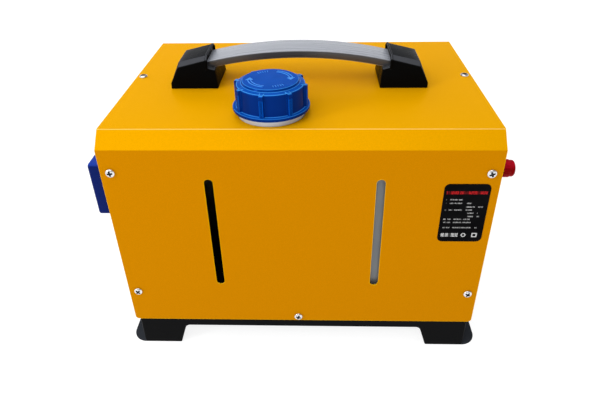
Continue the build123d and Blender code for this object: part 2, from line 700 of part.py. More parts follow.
with BuildPart() as handle_bolts:
    head_top = INNER_TOP - TRAY_SHEET
    for x, y in HANDLE_BOLTS:
        rod_z(x, y, INNER_TOP, bar_height(HANDLE_BOLT_OUT, BAR_THICKNESS) + BAR_HOLE_DEPTH - 1, M6_R)
        rod_z(x, y, head_top, INNER_TOP, M6_HEX_R + 1)
    with BuildSketch(Plane.XY.offset(head_top - M6_NUT_H)):
        with Locations(*HANDLE_BOLTS):
            RegularPolygon(M6_HEX_R, 6)
    extrude(amount=M6_NUT_H)
write(handle_bolts, "handle_bolts")

# ---------------------------------------------------------------- fuel tank, cap and seal
with BuildPart() as tank_cavity:
    block(
        TANK_LEFT + TANK_WALL,
        TANK_RIGHT - TANK_WALL,
        TANK_FRONT + TANK_WALL,
        TANK_BACK - TANK_WALL,
        COVER_BOTTOM + TANK_WALL,
        TANK_TOP - TANK_WALL,
    )
    fillet(tank_cavity.edges(), TANK_CORNER - TANK_WALL)

with BuildPart() as fuel_tank:
    block(TANK_LEFT, TANK_RIGHT, TANK_FRONT, TANK_BACK, COVER_BOTTOM, TANK_TOP)
    fillet(fuel_tank.edges(), TANK_CORNER)
    add(tank_cavity.part, mode=Mode.SUBTRACT)
    rod_z(NECK_X, NECK_Y, TANK_TOP - 2 * TANK_WALL, TANK_TOP + TANK_WALL, NECK_BORE_R, Mode.SUBTRACT)
    rod_x(NECK_Y, FUEL_Z, TANK_LEFT - 1, TANK_LEFT + 2 * TANK_WALL, HOSE_R, Mode.SUBTRACT)
write(fuel_tank, "fuel_tank")

with BuildPart() as filler_neck:
    rod_z(NECK_X, NECK_Y, TANK_TOP, CASE_TOP + COLLAR_RISE, COLLAR_R)
    rod_z(NECK_X, NECK_Y, CASE_TOP, NECK_TOP, NECK_R)
    for level in (0.35, 0.6, 0.85):
        height = CASE_TOP + COLLAR_RISE + level * (NECK_RISE - COLLAR_RISE)
        rod_z(NECK_X, NECK_Y, height - 1, height + 1, NECK_R + NECK_THREAD_H)
    rod_z(NECK_X, NECK_Y, TANK_TOP, NECK_TOP, NECK_BORE_R, Mode.SUBTRACT)
write(filler_neck, "filler_neck")

CAP_PLANE = Plane(origin=(NECK_X, NECK_Y, 0), x_dir=(1, 0, 0), z_dir=(0, -1, 0))
CAP_AXIS = Axis((NECK_X, NECK_Y, 0), (0, 0, 1))
CAP_BORE_R = NECK_R + NECK_THREAD_H + CAP_CLEARANCE

RIB_HEIGHT = CAP_SHOULDER - CAP_FLANGE_H

with BuildPart() as cap_rib:
    block(CAP_R - 2, CAP_RIB_R, -CAP_RIB_WIDTH / 2, CAP_RIB_WIDTH / 2, -0.5, RIB_HEIGHT)
    fillet(cap_rib.edges().filter_by(Axis.Z).group_by(Axis.X)[-1], CAP_RIB_WIDTH * 0.3)
    fillet(cap_rib.faces().sort_by(Axis.Z)[-1].edges().sort_by(Axis.X)[1:], 0.9)

with BuildSketch() as cap_arrow:
    with BuildLine():
        CenterArc((0, 0), CAP_MARK_R, 0, 80)
    trace(line_width=1.8)
    tip_turn = math.radians(84)
    with Locations((CAP_MARK_R * math.cos(tip_turn), CAP_MARK_R * math.sin(tip_turn))):
        RegularPolygon(4.2, 3, rotation=84 + 90)

with BuildPart() as fuel_cap:
    shoulder = CAP_UNDER + CAP_SHOULDER
    with BuildSketch(CAP_PLANE):
        with BuildLine():
            FilletPolyline(
                (0, CAP_TOP),
                (CAP_DISC_R, CAP_TOP),
                (CAP_DISC_R, shoulder),
                (CAP_R, shoulder),
                (CAP_R, CAP_UNDER + CAP_FLANGE_H),
                (CAP_FLANGE_R, CAP_UNDER + CAP_FLANGE_H),
                (CAP_FLANGE_R, CAP_UNDER),
                (CAP_BORE_R, CAP_UNDER),
                (CAP_BORE_R, CAP_INNER_TOP),
                (0, CAP_INNER_TOP),
                radius=[1.2, 0.8, 1.8, 0.8, 0.7, 0.7, 0.5, 1.0],
            )
            Line((0, CAP_INNER_TOP), (0, CAP_TOP))
        make_face()
    revolve(axis=CAP_AXIS)
    rib_plane = Plane(origin=(NECK_X, NECK_Y, CAP_UNDER + CAP_FLANGE_H))
    with Locations(rib_plane):
        with PolarLocations(0, CAP_RIBS, start_angle=CAP_RIB_ANGLE):
            add(cap_rib.part)
    with BuildSketch(Plane(origin=(NECK_X, NECK_Y, CAP_TOP))):
        with PolarLocations(0, 2, start_angle=20):
            add(cap_arrow.sketch)
    extrude(amount=CAP_MARK_H)
write(fuel_cap, "fuel_cap")

with BuildPart() as cap_seal:
    rod_z(NECK_X, NECK_Y, SEAL_BOTTOM, SEAL_TOP, NECK_R)
    rod_z(NECK_X, NECK_Y, SEAL_BOTTOM, SEAL_TOP, NECK_BORE_R, Mode.SUBTRACT)
write(cap_seal, "cap_seal")

with BuildPart() as tank_strap:
    with BuildSketch(Plane.YZ.offset(STRAP_X - STRAP_WIDTH / 2)):
        for inset, bottom in ((STRAP_SHEET, 0), (0, STRAP_SHEET)):
            low = COVER_BOTTOM - bottom
            with BuildLine() as band:
                FilletPolyline(
                    (TANK_FRONT - inset, low),
                    (TANK_FRONT - inset, TANK_TOP + inset),
                    (TANK_BACK + inset, TANK_TOP + inset),
                    (TANK_BACK + inset, low),
                    radius=TANK_CORNER + inset,
                )
                Line((TANK_BACK + inset, low), (TANK_FRONT - inset, low))
            make_face(mode=Mode.ADD if inset else Mode.SUBTRACT)
    extrude(amount=STRAP_WIDTH)
    strap_x = (STRAP_X - STRAP_WIDTH / 2, STRAP_X + STRAP_WIDTH / 2)
    block(*strap_x, TANK_BACK, TANK_BACK + STRAP_FOOT, COVER_BOTTOM, COVER_BOTTOM + STRAP_SHEET)
write(tank_strap, "tank_strap")

# ---------------------------------------------------------------- fuel line parts
FITTING_FLANGE = 3.0
FITTING_END = TANK_LEFT - FITTING_FLANGE
JOINT_X = (FITTING_END + FILTER_RIGHT) / 2
BARB_GAP = 0.3

with BuildPart() as tank_outlet_fitting:
    rod_x(NECK_Y, FUEL_Z, FITTING_END, TANK_LEFT, HOSE_R + 3.5)
    rod_x(NECK_Y, FUEL_Z, TANK_LEFT, TANK_LEFT + TANK_WALL, HOSE_R)
    rod_x(NECK_Y, FUEL_Z, TANK_LEFT + TANK_WALL, TANK_LEFT + 2 * TANK_WALL, HOSE_R + 2.5)
    rod_x(NECK_Y, FUEL_Z, JOINT_X + BARB_GAP, FITTING_END, BARB_R)
    rod_x(NECK_Y, FUEL_Z, JOINT_X, TANK_LEFT + 3 * TANK_WALL, LINE_BORE_R, Mode.SUBTRACT)
write(tank_outlet_fitting, "tank_outlet_fitting")

with BuildPart() as fuel_filter:
    rod_x(NECK_Y, FUEL_Z, FILTER_LEFT, FILTER_RIGHT, FILTER_R)
    fillet(fuel_filter.edges(), FILTER_R * 0.4)
    rod_x(NECK_Y, FUEL_Z, FILTER_LEFT - BARB_LENGTH, JOINT_X - BARB_GAP, BARB_R)
    rod_x(NECK_Y, FUEL_Z, FILTER_LEFT - BARB_LENGTH, JOINT_X, LINE_BORE_R, Mode.SUBTRACT)
write(fuel_filter, "fuel_filter")

with BuildPart() as tank_fuel_line:
    rod_x(NECK_Y, FUEL_Z, FILTER_RIGHT + BARB_GAP, FITTING_END - BARB_GAP, HOSE_R)
    rod_x(NECK_Y, FUEL_Z, FILTER_RIGHT, FITTING_END, BARB_R, Mode.SUBTRACT)
write(tank_fuel_line, "tank_fuel_line")

PUMP_NUT = 8.0
PUMP_INLET = PUMP_BOTTOM - PUMP_NUT
PUMP_OUTLET = PUMP_TOP + PUMP_NUT
PLUNGER_BOTTOM = PUMP_BOTTOM + 18.0
PLUG_REACH = 8.0
PLUG_WIDTH = 10.0
PLUG_Z = PUMP_TOP - 12.0

with BuildPart() as fuel_pump:
    rod_z(PUMP_X, NECK_Y, PUMP_BOTTOM, PUMP_TOP, PUMP_R)
    fillet(fuel_pump.edges(), 2.0)
    for near, far in ((PUMP_INLET, PUMP_BOTTOM), (PUMP_TOP, PUMP_OUTLET)):
        with BuildSketch(Plane.XY.offset(near)):
            with Locations((PUMP_X, NECK_Y)):
                RegularPolygon(PUMP_NUT, 6)
        extrude(amount=far - near)
    rod_z(PUMP_X, NECK_Y, PUMP_INLET - BARB_LENGTH, PUMP_OUTLET + BARB_LENGTH, BARB_R)
    plug_x = (PUMP_X - PLUG_WIDTH / 2, PUMP_X + PLUG_WIDTH / 2)
    plug_end = NECK_Y + PUMP_R + PLUG_REACH
    block(*plug_x, NECK_Y, plug_end, PLUG_Z - PLUG_WIDTH / 2, PLUG_Z + PLUG_WIDTH / 2)
    rod_z(PUMP_X, NECK_Y, PUMP_INLET - BARB_LENGTH, PUMP_OUTLET + BARB_LENGTH, LINE_BORE_R, Mode.SUBTRACT)
    rod_z(PUMP_X, NECK_Y, PLUNGER_BOTTOM, PLUNGER_BOTTOM + PLUNGER_SPACE, PUMP_BORE_R, Mode.SUBTRACT)
write(fuel_pump, "fuel_pump")

with BuildPart() as pump_plunger:
    plunger_foot = PLUNGER_BOTTOM + 0.1
    rod_z(PUMP_X, NECK_Y, plunger_foot, plunger_foot + PLUNGER_LENGTH, PUMP_BORE_R - PLUNGER_CLEARANCE)
    rod_z(PUMP_X, NECK_Y, plunger_foot, plunger_foot + PLUNGER_LENGTH, LINE_BORE_R, Mode.SUBTRACT)
write(pump_plunger, "pump_plunger")

with BuildPart() as pump_clamp:
    clamp_z = PUMP_BOTTOM + 16.0
    rod_z(PUMP_X, NECK_Y, clamp_z, clamp_z + CLAMP_WIDTH, PUMP_R + CLAMP_WALL)
    block(-PANEL_INNER, PUMP_X - PUMP_R, NECK_Y - 6, NECK_Y + 6, clamp_z, clamp_z + CLAMP_WIDTH)
    block(-PANEL_INNER, -PANEL_INNER + 2, NECK_Y - 14, NECK_Y + 14, clamp_z - 6, clamp_z + CLAMP_WIDTH + 6)
    rod_z(PUMP_X, NECK_Y, clamp_z - 6, clamp_z + CLAMP_WIDTH + 6, PUMP_R, Mode.SUBTRACT)
write(pump_clamp, "pump_clamp")

with BuildPart() as pump_inlet_line:
    tube(
        [
            (FILTER_LEFT - BARB_GAP, NECK_Y, FUEL_Z),
            (PUMP_X, NECK_Y, FUEL_Z),
            (PUMP_X, NECK_Y, PUMP_INLET - BARB_GAP),
        ],
        HOSE_BEND,
        HOSE_R,
        BARB_R,
    )
write(pump_inlet_line, "pump_inlet_line")

SLEEVE_LENGTH = 24.0
RUN_Y = (DIVIDER_Y + SHEET + HEATER_Y - SHELL_WIDTH / 2) / 2
RUN_X = PUMP_X + 17.0
RUN_Z = 240.0
FEED_Z = HEATER_Z - 20.0
FEED_END = HEATER_Y - math.sqrt(BURNER_R**2 - (HEATER_Z - FEED_Z) ** 2) + BURNER_WALL

with BuildPart() as heater_fuel_line:
    sleeve_z = PUMP_OUTLET + BARB_GAP
    rod_z(PUMP_X, NECK_Y, sleeve_z, sleeve_z + SLEEVE_LENGTH, HOSE_R)
    tube(
        [
            (PUMP_X, NECK_Y, sleeve_z + BARB_LENGTH + 2),
            (PUMP_X, NECK_Y, RUN_Z),
            (RUN_X, RUN_Y, RUN_Z),
            (RUN_X, RUN_Y, FEED_Z),
            (GLOW_X, RUN_Y, FEED_Z),
            (GLOW_X, FEED_END, FEED_Z),
        ],
        [14.0, 8.0, 14.0, 7.0],
        LINE_R,
        LINE_BORE_R,
    )
    rod_z(PUMP_X, NECK_Y, sleeve_z, sleeve_z + SLEEVE_LENGTH, LINE_BORE_R, Mode.SUBTRACT)
    rod_z(PUMP_X, NECK_Y, sleeve_z, sleeve_z + BARB_LENGTH, BARB_R, Mode.SUBTRACT)
write(heater_fuel_line, "heater_fuel_line")

# ---------------------------------------------------------------- divider
UNIT_RIGHT = SHELL_RIGHT - 2.0
UNIT_TOP = SHELL_TOP - SHELL_WALL - 0.2
LEAD_HOLE_R = LEAD_R + 1.2
POST_END = PANEL_INNER - POST_TAIL
POWER_RUNS = [
    (POSITIVE_Y, TANK_RIGHT + POSITIVE_RUN_GAP, POSITIVE_ENTRY),
    (NEGATIVE_Y, TANK_RIGHT + NEGATIVE_RUN_GAP, NEGATIVE_ENTRY),
]
CONTROL_RUN_X = -PANEL_INNER + 11.0
LEAD_ENTRIES = [POSITIVE_ENTRY, NEGATIVE_ENTRY, CONTROL_ENTRY, PUMP_ENTRY]

with BuildPart() as divider_panel:
    end_x = PANEL_INNER - TRAY_SHEET - DIVIDER_END_GAP
    block(-end_x, end_x, DIVIDER_Y, DIVIDER_Y + SHEET, COVER_BOTTOM, INNER_TOP - DIVIDER_TOP_GAP)
    block(-end_x, end_x, DIVIDER_Y, DIVIDER_Y + DIVIDER_FLANGE, COVER_BOTTOM, COVER_BOTTOM + SHEET)
    line_x = PUMP_X + (RUN_X - PUMP_X) * (DIVIDER_Y - NECK_Y) / (RUN_Y - NECK_Y)
    past = DIVIDER_Y + 2 * SHEET
    before = DIVIDER_Y - SHEET
    rod_y(line_x, RUN_Z, before, past, HOSE_R + 0.5, Mode.SUBTRACT)
    for terminal_y, run_x, entry in POWER_RUNS:
        rod_y(run_x, TERMINAL_Z, before, past, LEAD_HOLE_R, Mode.SUBTRACT)
    rod_y(CONTROL_RUN_X, LEAD_LEVEL, before, past, LEAD_HOLE_R, Mode.SUBTRACT)
    rod_y(PUMP_X, PLUG_Z, before, past, LEAD_HOLE_R, Mode.SUBTRACT)
write(divider_panel, "divider_panel")


# ---------------------------------------------------------------- heater
def heater_section(width, height, corner, mode=Mode.ADD):
    """A rounded rectangle about the heater's axis, for a sketch on a YZ plane."""
    with Locations((HEATER_Y, HEATER_Z)):
        RectangleRounded(width, height, corner, mode=mode)


def shell_half(side):
    """The heater casing's wall on the side 1 (upper) or -1 (lower) of its axis."""
    with BuildSketch(Plane.YZ.offset(SHELL_LEFT)) as wall:
        heater_section(SHELL_WIDTH, SHELL_HEIGHT, SHELL_CORNER)
        inner_corner = SHELL_CORNER - SHELL_WALL
        inner_size = (SHELL_WIDTH - 2 * SHELL_WALL, SHELL_HEIGHT - 2 * SHELL_WALL)
        heater_section(*inner_size, inner_corner, Mode.SUBTRACT)
        with Locations((HEATER_Y, HEATER_Z - side * SHELL_HEIGHT / 2)):
            Rectangle(2 * SHELL_WIDTH, SHELL_HEIGHT, mode=Mode.SUBTRACT)
    extrude(wall.sketch, amount=SHELL_RIGHT - SHELL_LEFT)


FOOT_Y = (HEATER_Y - FOOT_HALF_WIDTH, HEATER_Y + FOOT_HALF_WIDTH)
OPENING_MARGIN = 2.0

with BuildPart() as heater_lower_shell:
    shell_half(-1)
    block(
        FOOT_LEFT - OPENING_MARGIN,
        FOOT_RIGHT + OPENING_MARGIN,
        FOOT_Y[0] - OPENING_MARGIN,
        FOOT_Y[1] + OPENING_MARGIN,
        COVER_BOTTOM,
        SHELL_BOTTOM + 2 * SHELL_WALL,
        Mode.SUBTRACT,
    )
    rod_y(GLOW_X, FEED_Z, RUN_Y, HEATER_Y, LINE_R + 0.6, Mode.SUBTRACT)
write(heater_lower_shell, "heater_lower_shell")

with BuildPart() as heater_upper_shell:
    shell_half(1)
    for x, y in LEAD_ENTRIES:
        rod_z(x, y, UNIT_TOP, SHELL_TOP + SHELL_WALL, LEAD_HOLE_R, Mode.SUBTRACT)
write(heater_upper_shell, "heater_upper_shell")

with BuildPart() as outlet_hood:
    hood_left = SHELL_LEFT - HOOD_DEPTH
    with BuildSketch(Plane.YZ.offset(hood_left)):
        heater_section(SHELL_WIDTH, SHELL_HEIGHT, SHELL_CORNER)
    extrude(amount=HOOD_DEPTH)
    fillet(outlet_hood.faces().sort_by(Axis.X)[0].edges(), 8.0)
    with BuildSketch(Plane.YZ.offset(hood_left + SHELL_WALL)):
        heater_section(
            SHELL_WIDTH - 2 * SHELL_WALL, SHELL_HEIGHT - 2 * SHELL_WALL, SHELL_CORNER - SHELL_WALL
        )
    extrude(amount=HOOD_DEPTH, mode=Mode.SUBTRACT)
    stub_end = -PANEL_FACE - OUTLET_REACH
    rod_x(HEATER_Y, HEATER_Z, stub_end, hood_left + SHELL_WALL, OUTLET_R)
    rod_x(HEATER_Y, HEATER_Z, -PANEL_FACE - DUCT_STOP_WIDTH, -PANEL_INNER, OUTLET_R + DUCT_STOP_H)
    rod_x(HEATER_Y, HEATER_Z, stub_end, hood_left + 2 * SHELL_WALL, OUTLET_BORE_R, Mode.SUBTRACT)
write(outlet_hood, "outlet_hood")

with BuildPart() as inlet_hood:
    hood_right = PANEL_INNER - TRAY_SHEET - 0.2
    with BuildSketch(Plane.YZ.offset(SHELL_RIGHT)):
        heater_section(SHELL_WIDTH, SHELL_HEIGHT, SHELL_CORNER)
    extrude(amount=hood_right - SHELL_RIGHT)
    with BuildSketch(Plane.YZ.offset(SHELL_RIGHT)):
        heater_section(
            SHELL_WIDTH - 2 * SHELL_WALL, SHELL_HEIGHT - 2 * SHELL_WALL, SHELL_CORNER - SHELL_WALL
        )
    extrude(amount=hood_right - SHELL_RIGHT - SHELL_WALL, mode=Mode.SUBTRACT)
    rod_x(HEATER_Y, HEATER_Z, SHELL_RIGHT, hood_right, SHROUD_R + SHELL_WALL)
    rod_x(HEATER_Y, HEATER_Z, SHELL_RIGHT, hood_right, SHROUD_R, Mode.SUBTRACT)
write(inlet_hood, "inlet_hood")

with BuildPart() as inlet_guard:
    with BuildSketch(Plane.YZ.offset(PANEL_FACE)):
        with Locations((HEATER_Y, HEATER_Z)):
            Circle(GUARD_R)
            Circle(INLET_HOLE_R - 2 * GUARD_BAR, mode=Mode.SUBTRACT)
            for ring in GUARD_RINGS:
                Circle(ring + GUARD_BAR / 2)
                Circle(ring - GUARD_BAR / 2, mode=Mode.SUBTRACT)
            with PolarLocations(0, GUARD_SPOKES):
                Rectangle(INLET_HOLE_R, GUARD_BAR, align=(Align.MIN, Align.CENTER))
    extrude(amount=GUARD_THICKNESS)
    rod_x(HEATER_Y, HEATER_Z, PANEL_INNER - 3, PANEL_FACE, INLET_HOLE_R - 0.2)
    rod_x(HEATER_Y, HEATER_Z, PANEL_INNER - 3, PANEL_FACE, INLET_HOLE_R - 0.2 - SHELL_WALL, Mode.SUBTRACT)
write(inlet_guard, "inlet_guard")

GLOW_SEAT = SHELL_TOP - SHELL_WALL - GLOW_HEAD_GAP - GLOW_PIN_H - GLOW_HEX_H
GLOW_R = 4.0
GLOW_BOSS_R = 9.0
SENSOR_SEAT = SHELL_TOP - SHELL_WALL - SENSOR_HEAD_GAP - SENSOR_CAP_H - SENSOR_BASE_H
SENSOR_HALF = 10.0
STUD_LENGTH = 14.0

with BuildPart() as heat_exchanger:
    with BuildSketch(Plane.YZ.offset(EXCHANGER_LEFT)):
        with Locations((HEATER_Y, HEATER_Z)):
            Circle(EXCHANGER_CORE_R)
            with PolarLocations(0, FIN_COUNT):
                Rectangle(SHELL_HEIGHT, FIN_THICKNESS, align=(Align.MIN, Align.CENTER))
        shrink = 2 * (SHELL_WALL + FIN_GAP)
        heater_section(SHELL_WIDTH - shrink, SHELL_HEIGHT - shrink, SHELL_CORNER - shrink / 2, Mode.INTERSECT)
    extrude(amount=EXCHANGER_RIGHT - EXCHANGER_FLANGE - EXCHANGER_LEFT)
    with BuildSketch(Plane.YZ.offset(EXCHANGER_RIGHT - EXCHANGER_FLANGE)):
        heater_section(CASTING_WIDTH, CASTING_HEIGHT, CASTING_CORNER)
    extrude(amount=EXCHANGER_FLANGE)
    block(FOOT_LEFT, EXCHANGER_RIGHT, *FOOT_Y, SHELL_BOTTOM, SHELL_BOTTOM + FOOT_HEIGHT)
    rod_z(GLOW_X, HEATER_Y, HEATER_Z, GLOW_SEAT, GLOW_BOSS_R)
    sensor_x = (SENSOR_X - SENSOR_HALF, SENSOR_X + SENSOR_HALF)
    sensor_y = (HEATER_Y - SENSOR_HALF, HEATER_Y + SENSOR_HALF)
    block(*sensor_x, *sensor_y, HEATER_Z, SENSOR_SEAT)
    block(*sensor_x, *sensor_y, SENSOR_SEAT, SHELL_TOP, Mode.SUBTRACT)
    rod_z(GLOW_X, HEATER_Y, GLOW_SEAT, SHELL_TOP, GLOW_BOSS_R, Mode.SUBTRACT)
    bore_left = EXCHANGER_LEFT + EXCHANGER_END_WALL
    rod_x(HEATER_Y, HEATER_Z, bore_left, EXCHANGER_RIGHT, EXCHANGER_BORE_R, Mode.SUBTRACT)
    rod_z(GLOW_X, HEATER_Y, HEATER_Z, GLOW_SEAT, GLOW_R + 0.1, Mode.SUBTRACT)
    rod_y(GLOW_X, FEED_Z, RUN_Y, HEATER_Y, LINE_R + 0.6, Mode.SUBTRACT)
    rod_z(EXHAUST_X, HEATER_Y, SHELL_BOTTOM, HEATER_Z - EXCHANGER_BORE_R + 4, EXHAUST_R, Mode.SUBTRACT)
    for y in STUD_Y:
        rod_z(STUD_X[0], y, SHELL_BOTTOM - STUD_LENGTH, SHELL_BOTTOM + 2, M6_R)
write(heat_exchanger, "heat_exchanger")

BURNER_LEFT = EXCHANGER_RIGHT - BURNER_LENGTH

with BuildPart() as combustion_chamber:
    rod_x(HEATER_Y, HEATER_Z, BURNER_LEFT, EXCHANGER_RIGHT, BURNER_R)
    rod_x(HEATER_Y, HEATER_Z, EXCHANGER_RIGHT, BLOWER_LEFT, BURNER_FLANGE_R)
    rod_x(HEATER_Y, HEATER_Z, BURNER_LEFT, BLOWER_LEFT, BURNER_R - BURNER_WALL, Mode.SUBTRACT)
    for plate_x, hole in ((GLOW_X - 22, 14.0), (GLOW_X + 12, 6.0)):
        rod_x(HEATER_Y, HEATER_Z, plate_x, plate_x + BURNER_WALL, BURNER_R - BURNER_WALL / 2)
        rod_x(HEATER_Y, HEATER_Z, plate_x, plate_x + BURNER_WALL, hole, Mode.SUBTRACT)
    rod_z(GLOW_X, HEATER_Y, HEATER_Z, GLOW_SEAT, GLOW_R + 0.1, Mode.SUBTRACT)
    rod_y(GLOW_X, FEED_Z, RUN_Y, HEATER_Y - FEED_REACH, LINE_R + 0.1, Mode.SUBTRACT)
write(combustion_chamber, "combustion_chamber")

with BuildPart() as glow_plug:
    rod_z(GLOW_X, HEATER_Y, HEATER_Z + BURNER_R - GLOW_REACH, GLOW_SEAT, GLOW_R)
    with BuildSketch(Plane.XY.offset(GLOW_SEAT)):
        with Locations((GLOW_X, HEATER_Y)):
            RegularPolygon(2 * GLOW_R, 6)
    extrude(amount=GLOW_HEX_H)
    rod_z(GLOW_X, HEATER_Y, GLOW_SEAT + GLOW_HEX_H, GLOW_SEAT + GLOW_HEX_H + GLOW_PIN_H, GLOW_R / 2)
write(glow_plug, "glow_plug")

with BuildPart() as overheat_sensor:
    sensor_step = SENSOR_SEAT + SENSOR_BASE_H
    rod_z(SENSOR_X, HEATER_Y, SENSOR_SEAT, sensor_step, SENSOR_HALF * 0.7)
    rod_z(SENSOR_X, HEATER_Y, sensor_step, sensor_step + SENSOR_CAP_H, SENSOR_HALF * 0.4)
write(overheat_sensor, "overheat_sensor")

with BuildPart() as blower_housing:
    with BuildSketch(Plane.YZ.offset(BLOWER_LEFT)):
        heater_section(CASTING_WIDTH, CASTING_HEIGHT, CASTING_CORNER)
    extrude(amount=BLOWER_LENGTH)
    block(BLOWER_LEFT, BLOWER_RIGHT, *FOOT_Y, SHELL_BOTTOM, SHELL_BOTTOM + FOOT_HEIGHT)
    rod_x(HEATER_Y, HEATER_Z, BLOWER_LEFT + BLOWER_WALL, BLOWER_RIGHT, BLOWER_BORE_R, Mode.SUBTRACT)
    rod_x(HEATER_Y, HEATER_Z, BLOWER_LEFT, BLOWER_RIGHT, BURNER_R - 8, Mode.SUBTRACT)
    rod_z(INTAKE_X, HEATER_Y, SHELL_BOTTOM, HEATER_Z - BLOWER_BORE_R + 4, INTAKE_R, Mode.SUBTRACT)
    for y in STUD_Y:
        rod_z(STUD_X[1], y, SHELL_BOTTOM - STUD_LENGTH, SHELL_BOTTOM + 2, M6_R)
write(blower_housing, "blower_housing")

with BuildPart() as blower_motor:
    motor_left = BLOWER_RIGHT + MOTOR_FLANGE
    rod_x(HEATER_Y, HEATER_Z, motor_left, MOTOR_RIGHT, MOTOR_R)
    fillet(blower_motor.edges().sort_by(Axis.X)[-1], 3.0)
    rod_x(HEATER_Y, HEATER_Z, BLOWER_RIGHT, motor_left, MOTOR_FLANGE_R)
    rod_x(HEATER_Y, HEATER_Z, BLOWER_RIGHT, MOTOR_RIGHT, SHAFT_R + SHAFT_CLEARANCE, Mode.SUBTRACT)
write(blower_motor, "blower_motor")

with BuildPart() as motor_shaft:
    rod_x(HEATER_Y, HEATER_Z, BLOWER_LEFT + BLOWER_WALL + 3, FAN_RIGHT + 2, SHAFT_R)
write(motor_shaft, "motor_shaft")

WHEEL_LEFT = BLOWER_LEFT + BLOWER_WALL + WHEEL_GAP
WHEEL_RIGHT = BLOWER_RIGHT - WHEEL_GAP
WHEEL_DISC = 2.0

with BuildPart() as combustion_wheel:
    rod_x(HEATER_Y, HEATER_Z, WHEEL_LEFT, WHEEL_RIGHT, SHAFT_R + WHEEL_HUB)
    rod_x(HEATER_Y, HEATER_Z, WHEEL_RIGHT - WHEEL_DISC, WHEEL_RIGHT, WHEEL_R)
    blade_depth = WHEEL_RIGHT - WHEEL_DISC / 2 - WHEEL_LEFT
    blade_length = WHEEL_R - SHAFT_R - 2 * WHEEL_HUB
    with Locations(Plane(origin=(WHEEL_LEFT + blade_depth / 2, HEATER_Y, HEATER_Z), z_dir=(1, 0, 0))):
        with PolarLocations(WHEEL_R - blade_length / 2 - 0.5, WHEEL_BLADES):
            Box(blade_length, 1.6, blade_depth)
    rod_x(HEATER_Y, HEATER_Z, WHEEL_LEFT, WHEEL_RIGHT, SHAFT_R, Mode.SUBTRACT)
write(combustion_wheel, "combustion_wheel")

with BuildPart() as air_fan:
    blade_span = FAN_R - FAN_HUB_R + 4
    fan_plane = Plane(origin=((FAN_LEFT + FAN_RIGHT) / 2, HEATER_Y, HEATER_Z), z_dir=(1, 0, 0))
    rod_x(HEATER_Y, HEATER_Z, FAN_LEFT, FAN_RIGHT, FAN_HUB_R)
    fillet(air_fan.edges().sort_by(Axis.X)[-1], 3.0)
    with Locations(fan_plane):
        with PolarLocations(FAN_R - blade_span / 2 + 1.5, FAN_BLADES):
            Box(blade_span, 2.0, FAN_WIDTH, rotation=(FAN_PITCH, 0, 0))
    rod_x(HEATER_Y, HEATER_Z, FAN_LEFT, FAN_RIGHT, FAN_R, Mode.INTERSECT)
    rod_x(HEATER_Y, HEATER_Z, FAN_LEFT, FAN_RIGHT, SHAFT_R, Mode.SUBTRACT)
write(air_fan, "air_fan")

with BuildPart() as control_unit:
    unit_y = (HEATER_Y - UNIT_WIDTH / 2, HEATER_Y + UNIT_WIDTH / 2)
    block(UNIT_RIGHT - UNIT_LENGTH, UNIT_RIGHT, *unit_y, UNIT_TOP - UNIT_HEIGHT, UNIT_TOP)
    fillet(control_unit.edges().filter_by(Axis.Z), 3.0)
write(control_unit, "control_unit")

with BuildPart() as mount_gasket:
    block(
        FOOT_LEFT - GASKET_RIM,
        FOOT_RIGHT + GASKET_RIM,
        FOOT_Y[0] - GASKET_RIM,
        FOOT_Y[1] + GASKET_RIM,
        COVER_BOTTOM,
        SHELL_BOTTOM,
    )
    rod_z(EXHAUST_X, HEATER_Y, COVER_BOTTOM, SHELL_BOTTOM, EXHAUST_R + 0.2, Mode.SUBTRACT)
    rod_z(INTAKE_X, HEATER_Y, COVER_BOTTOM, SHELL_BOTTOM, INTAKE_R + 0.2, Mode.SUBTRACT)
    for x in STUD_X:
        for y in STUD_Y:
            rod_z(x, y, COVER_BOTTOM, SHELL_BOTTOM, M6_R + 0.1, Mode.SUBTRACT)
write(mount_gasket, "mount_gasket")

with BuildPart() as fixing_nuts:
    for seat, clamped in screw_seats():
        with Locations(seat.offset(-clamped - NUT_H / 2)):
            Cylinder(NUT_R, NUT_H)
            Cylinder(SCREW_R, NUT_H, mode=Mode.SUBTRACT)
    with BuildSketch(Plane.XY.offset(TRAY_UNDER - M6_NUT_H)):
        with Locations(*[(x, y) for x in STUD_X for y in STUD_Y]):
            RegularPolygon(M6_HEX_R, 6)
            Circle(M6_R, mode=Mode.SUBTRACT)
    extrude(amount=M6_NUT_H)
write(fixing_nuts, "fixing_nuts")

with BuildPart() as exhaust_elbow:
    tube(
        [
            (EXHAUST_X, HEATER_Y, SHELL_BOTTOM + PIPE_SOCKET),
            (EXHAUST_X, HEATER_Y, PIPE_Z),
            (EXHAUST_X, COVER_SIDE + PIPE_REACH, PIPE_Z),
        ],
        PIPE_BEND,
        EXHAUST_R,
        EXHAUST_R - EXHAUST_WALL,
    )
    rod_y(EXHAUST_X, PIPE_Z, HOSE_STOP_Y, HOSE_STOP_END, EXHAUST_R + EXHAUST_STOP_H)
    rod_y(EXHAUST_X, PIPE_Z, HOSE_STOP_Y, HOSE_STOP_END, EXHAUST_R - EXHAUST_WALL, Mode.SUBTRACT)
write(exhaust_elbow, "exhaust_elbow")

with BuildPart() as air_intake_elbow:
    tube(
        [
            (INTAKE_X, HEATER_Y, SHELL_BOTTOM + PIPE_SOCKET),
            (INTAKE_X, HEATER_Y, PIPE_Z),
            (INTAKE_X, COVER_SIDE + PIPE_REACH, PIPE_Z),
        ],
        PIPE_BEND,
        INTAKE_R,
        INTAKE_R - INTAKE_WALL,
    )
    rod_y(INTAKE_X, PIPE_Z, HOSE_STOP_Y, HOSE_STOP_END, INTAKE_R + INTAKE_STOP_H)
    rod_y(INTAKE_X, PIPE_Z, HOSE_STOP_Y, HOSE_STOP_END, INTAKE_R - INTAKE_WALL, Mode.SUBTRACT)
write(air_intake_elbow, "air_intake_elbow")

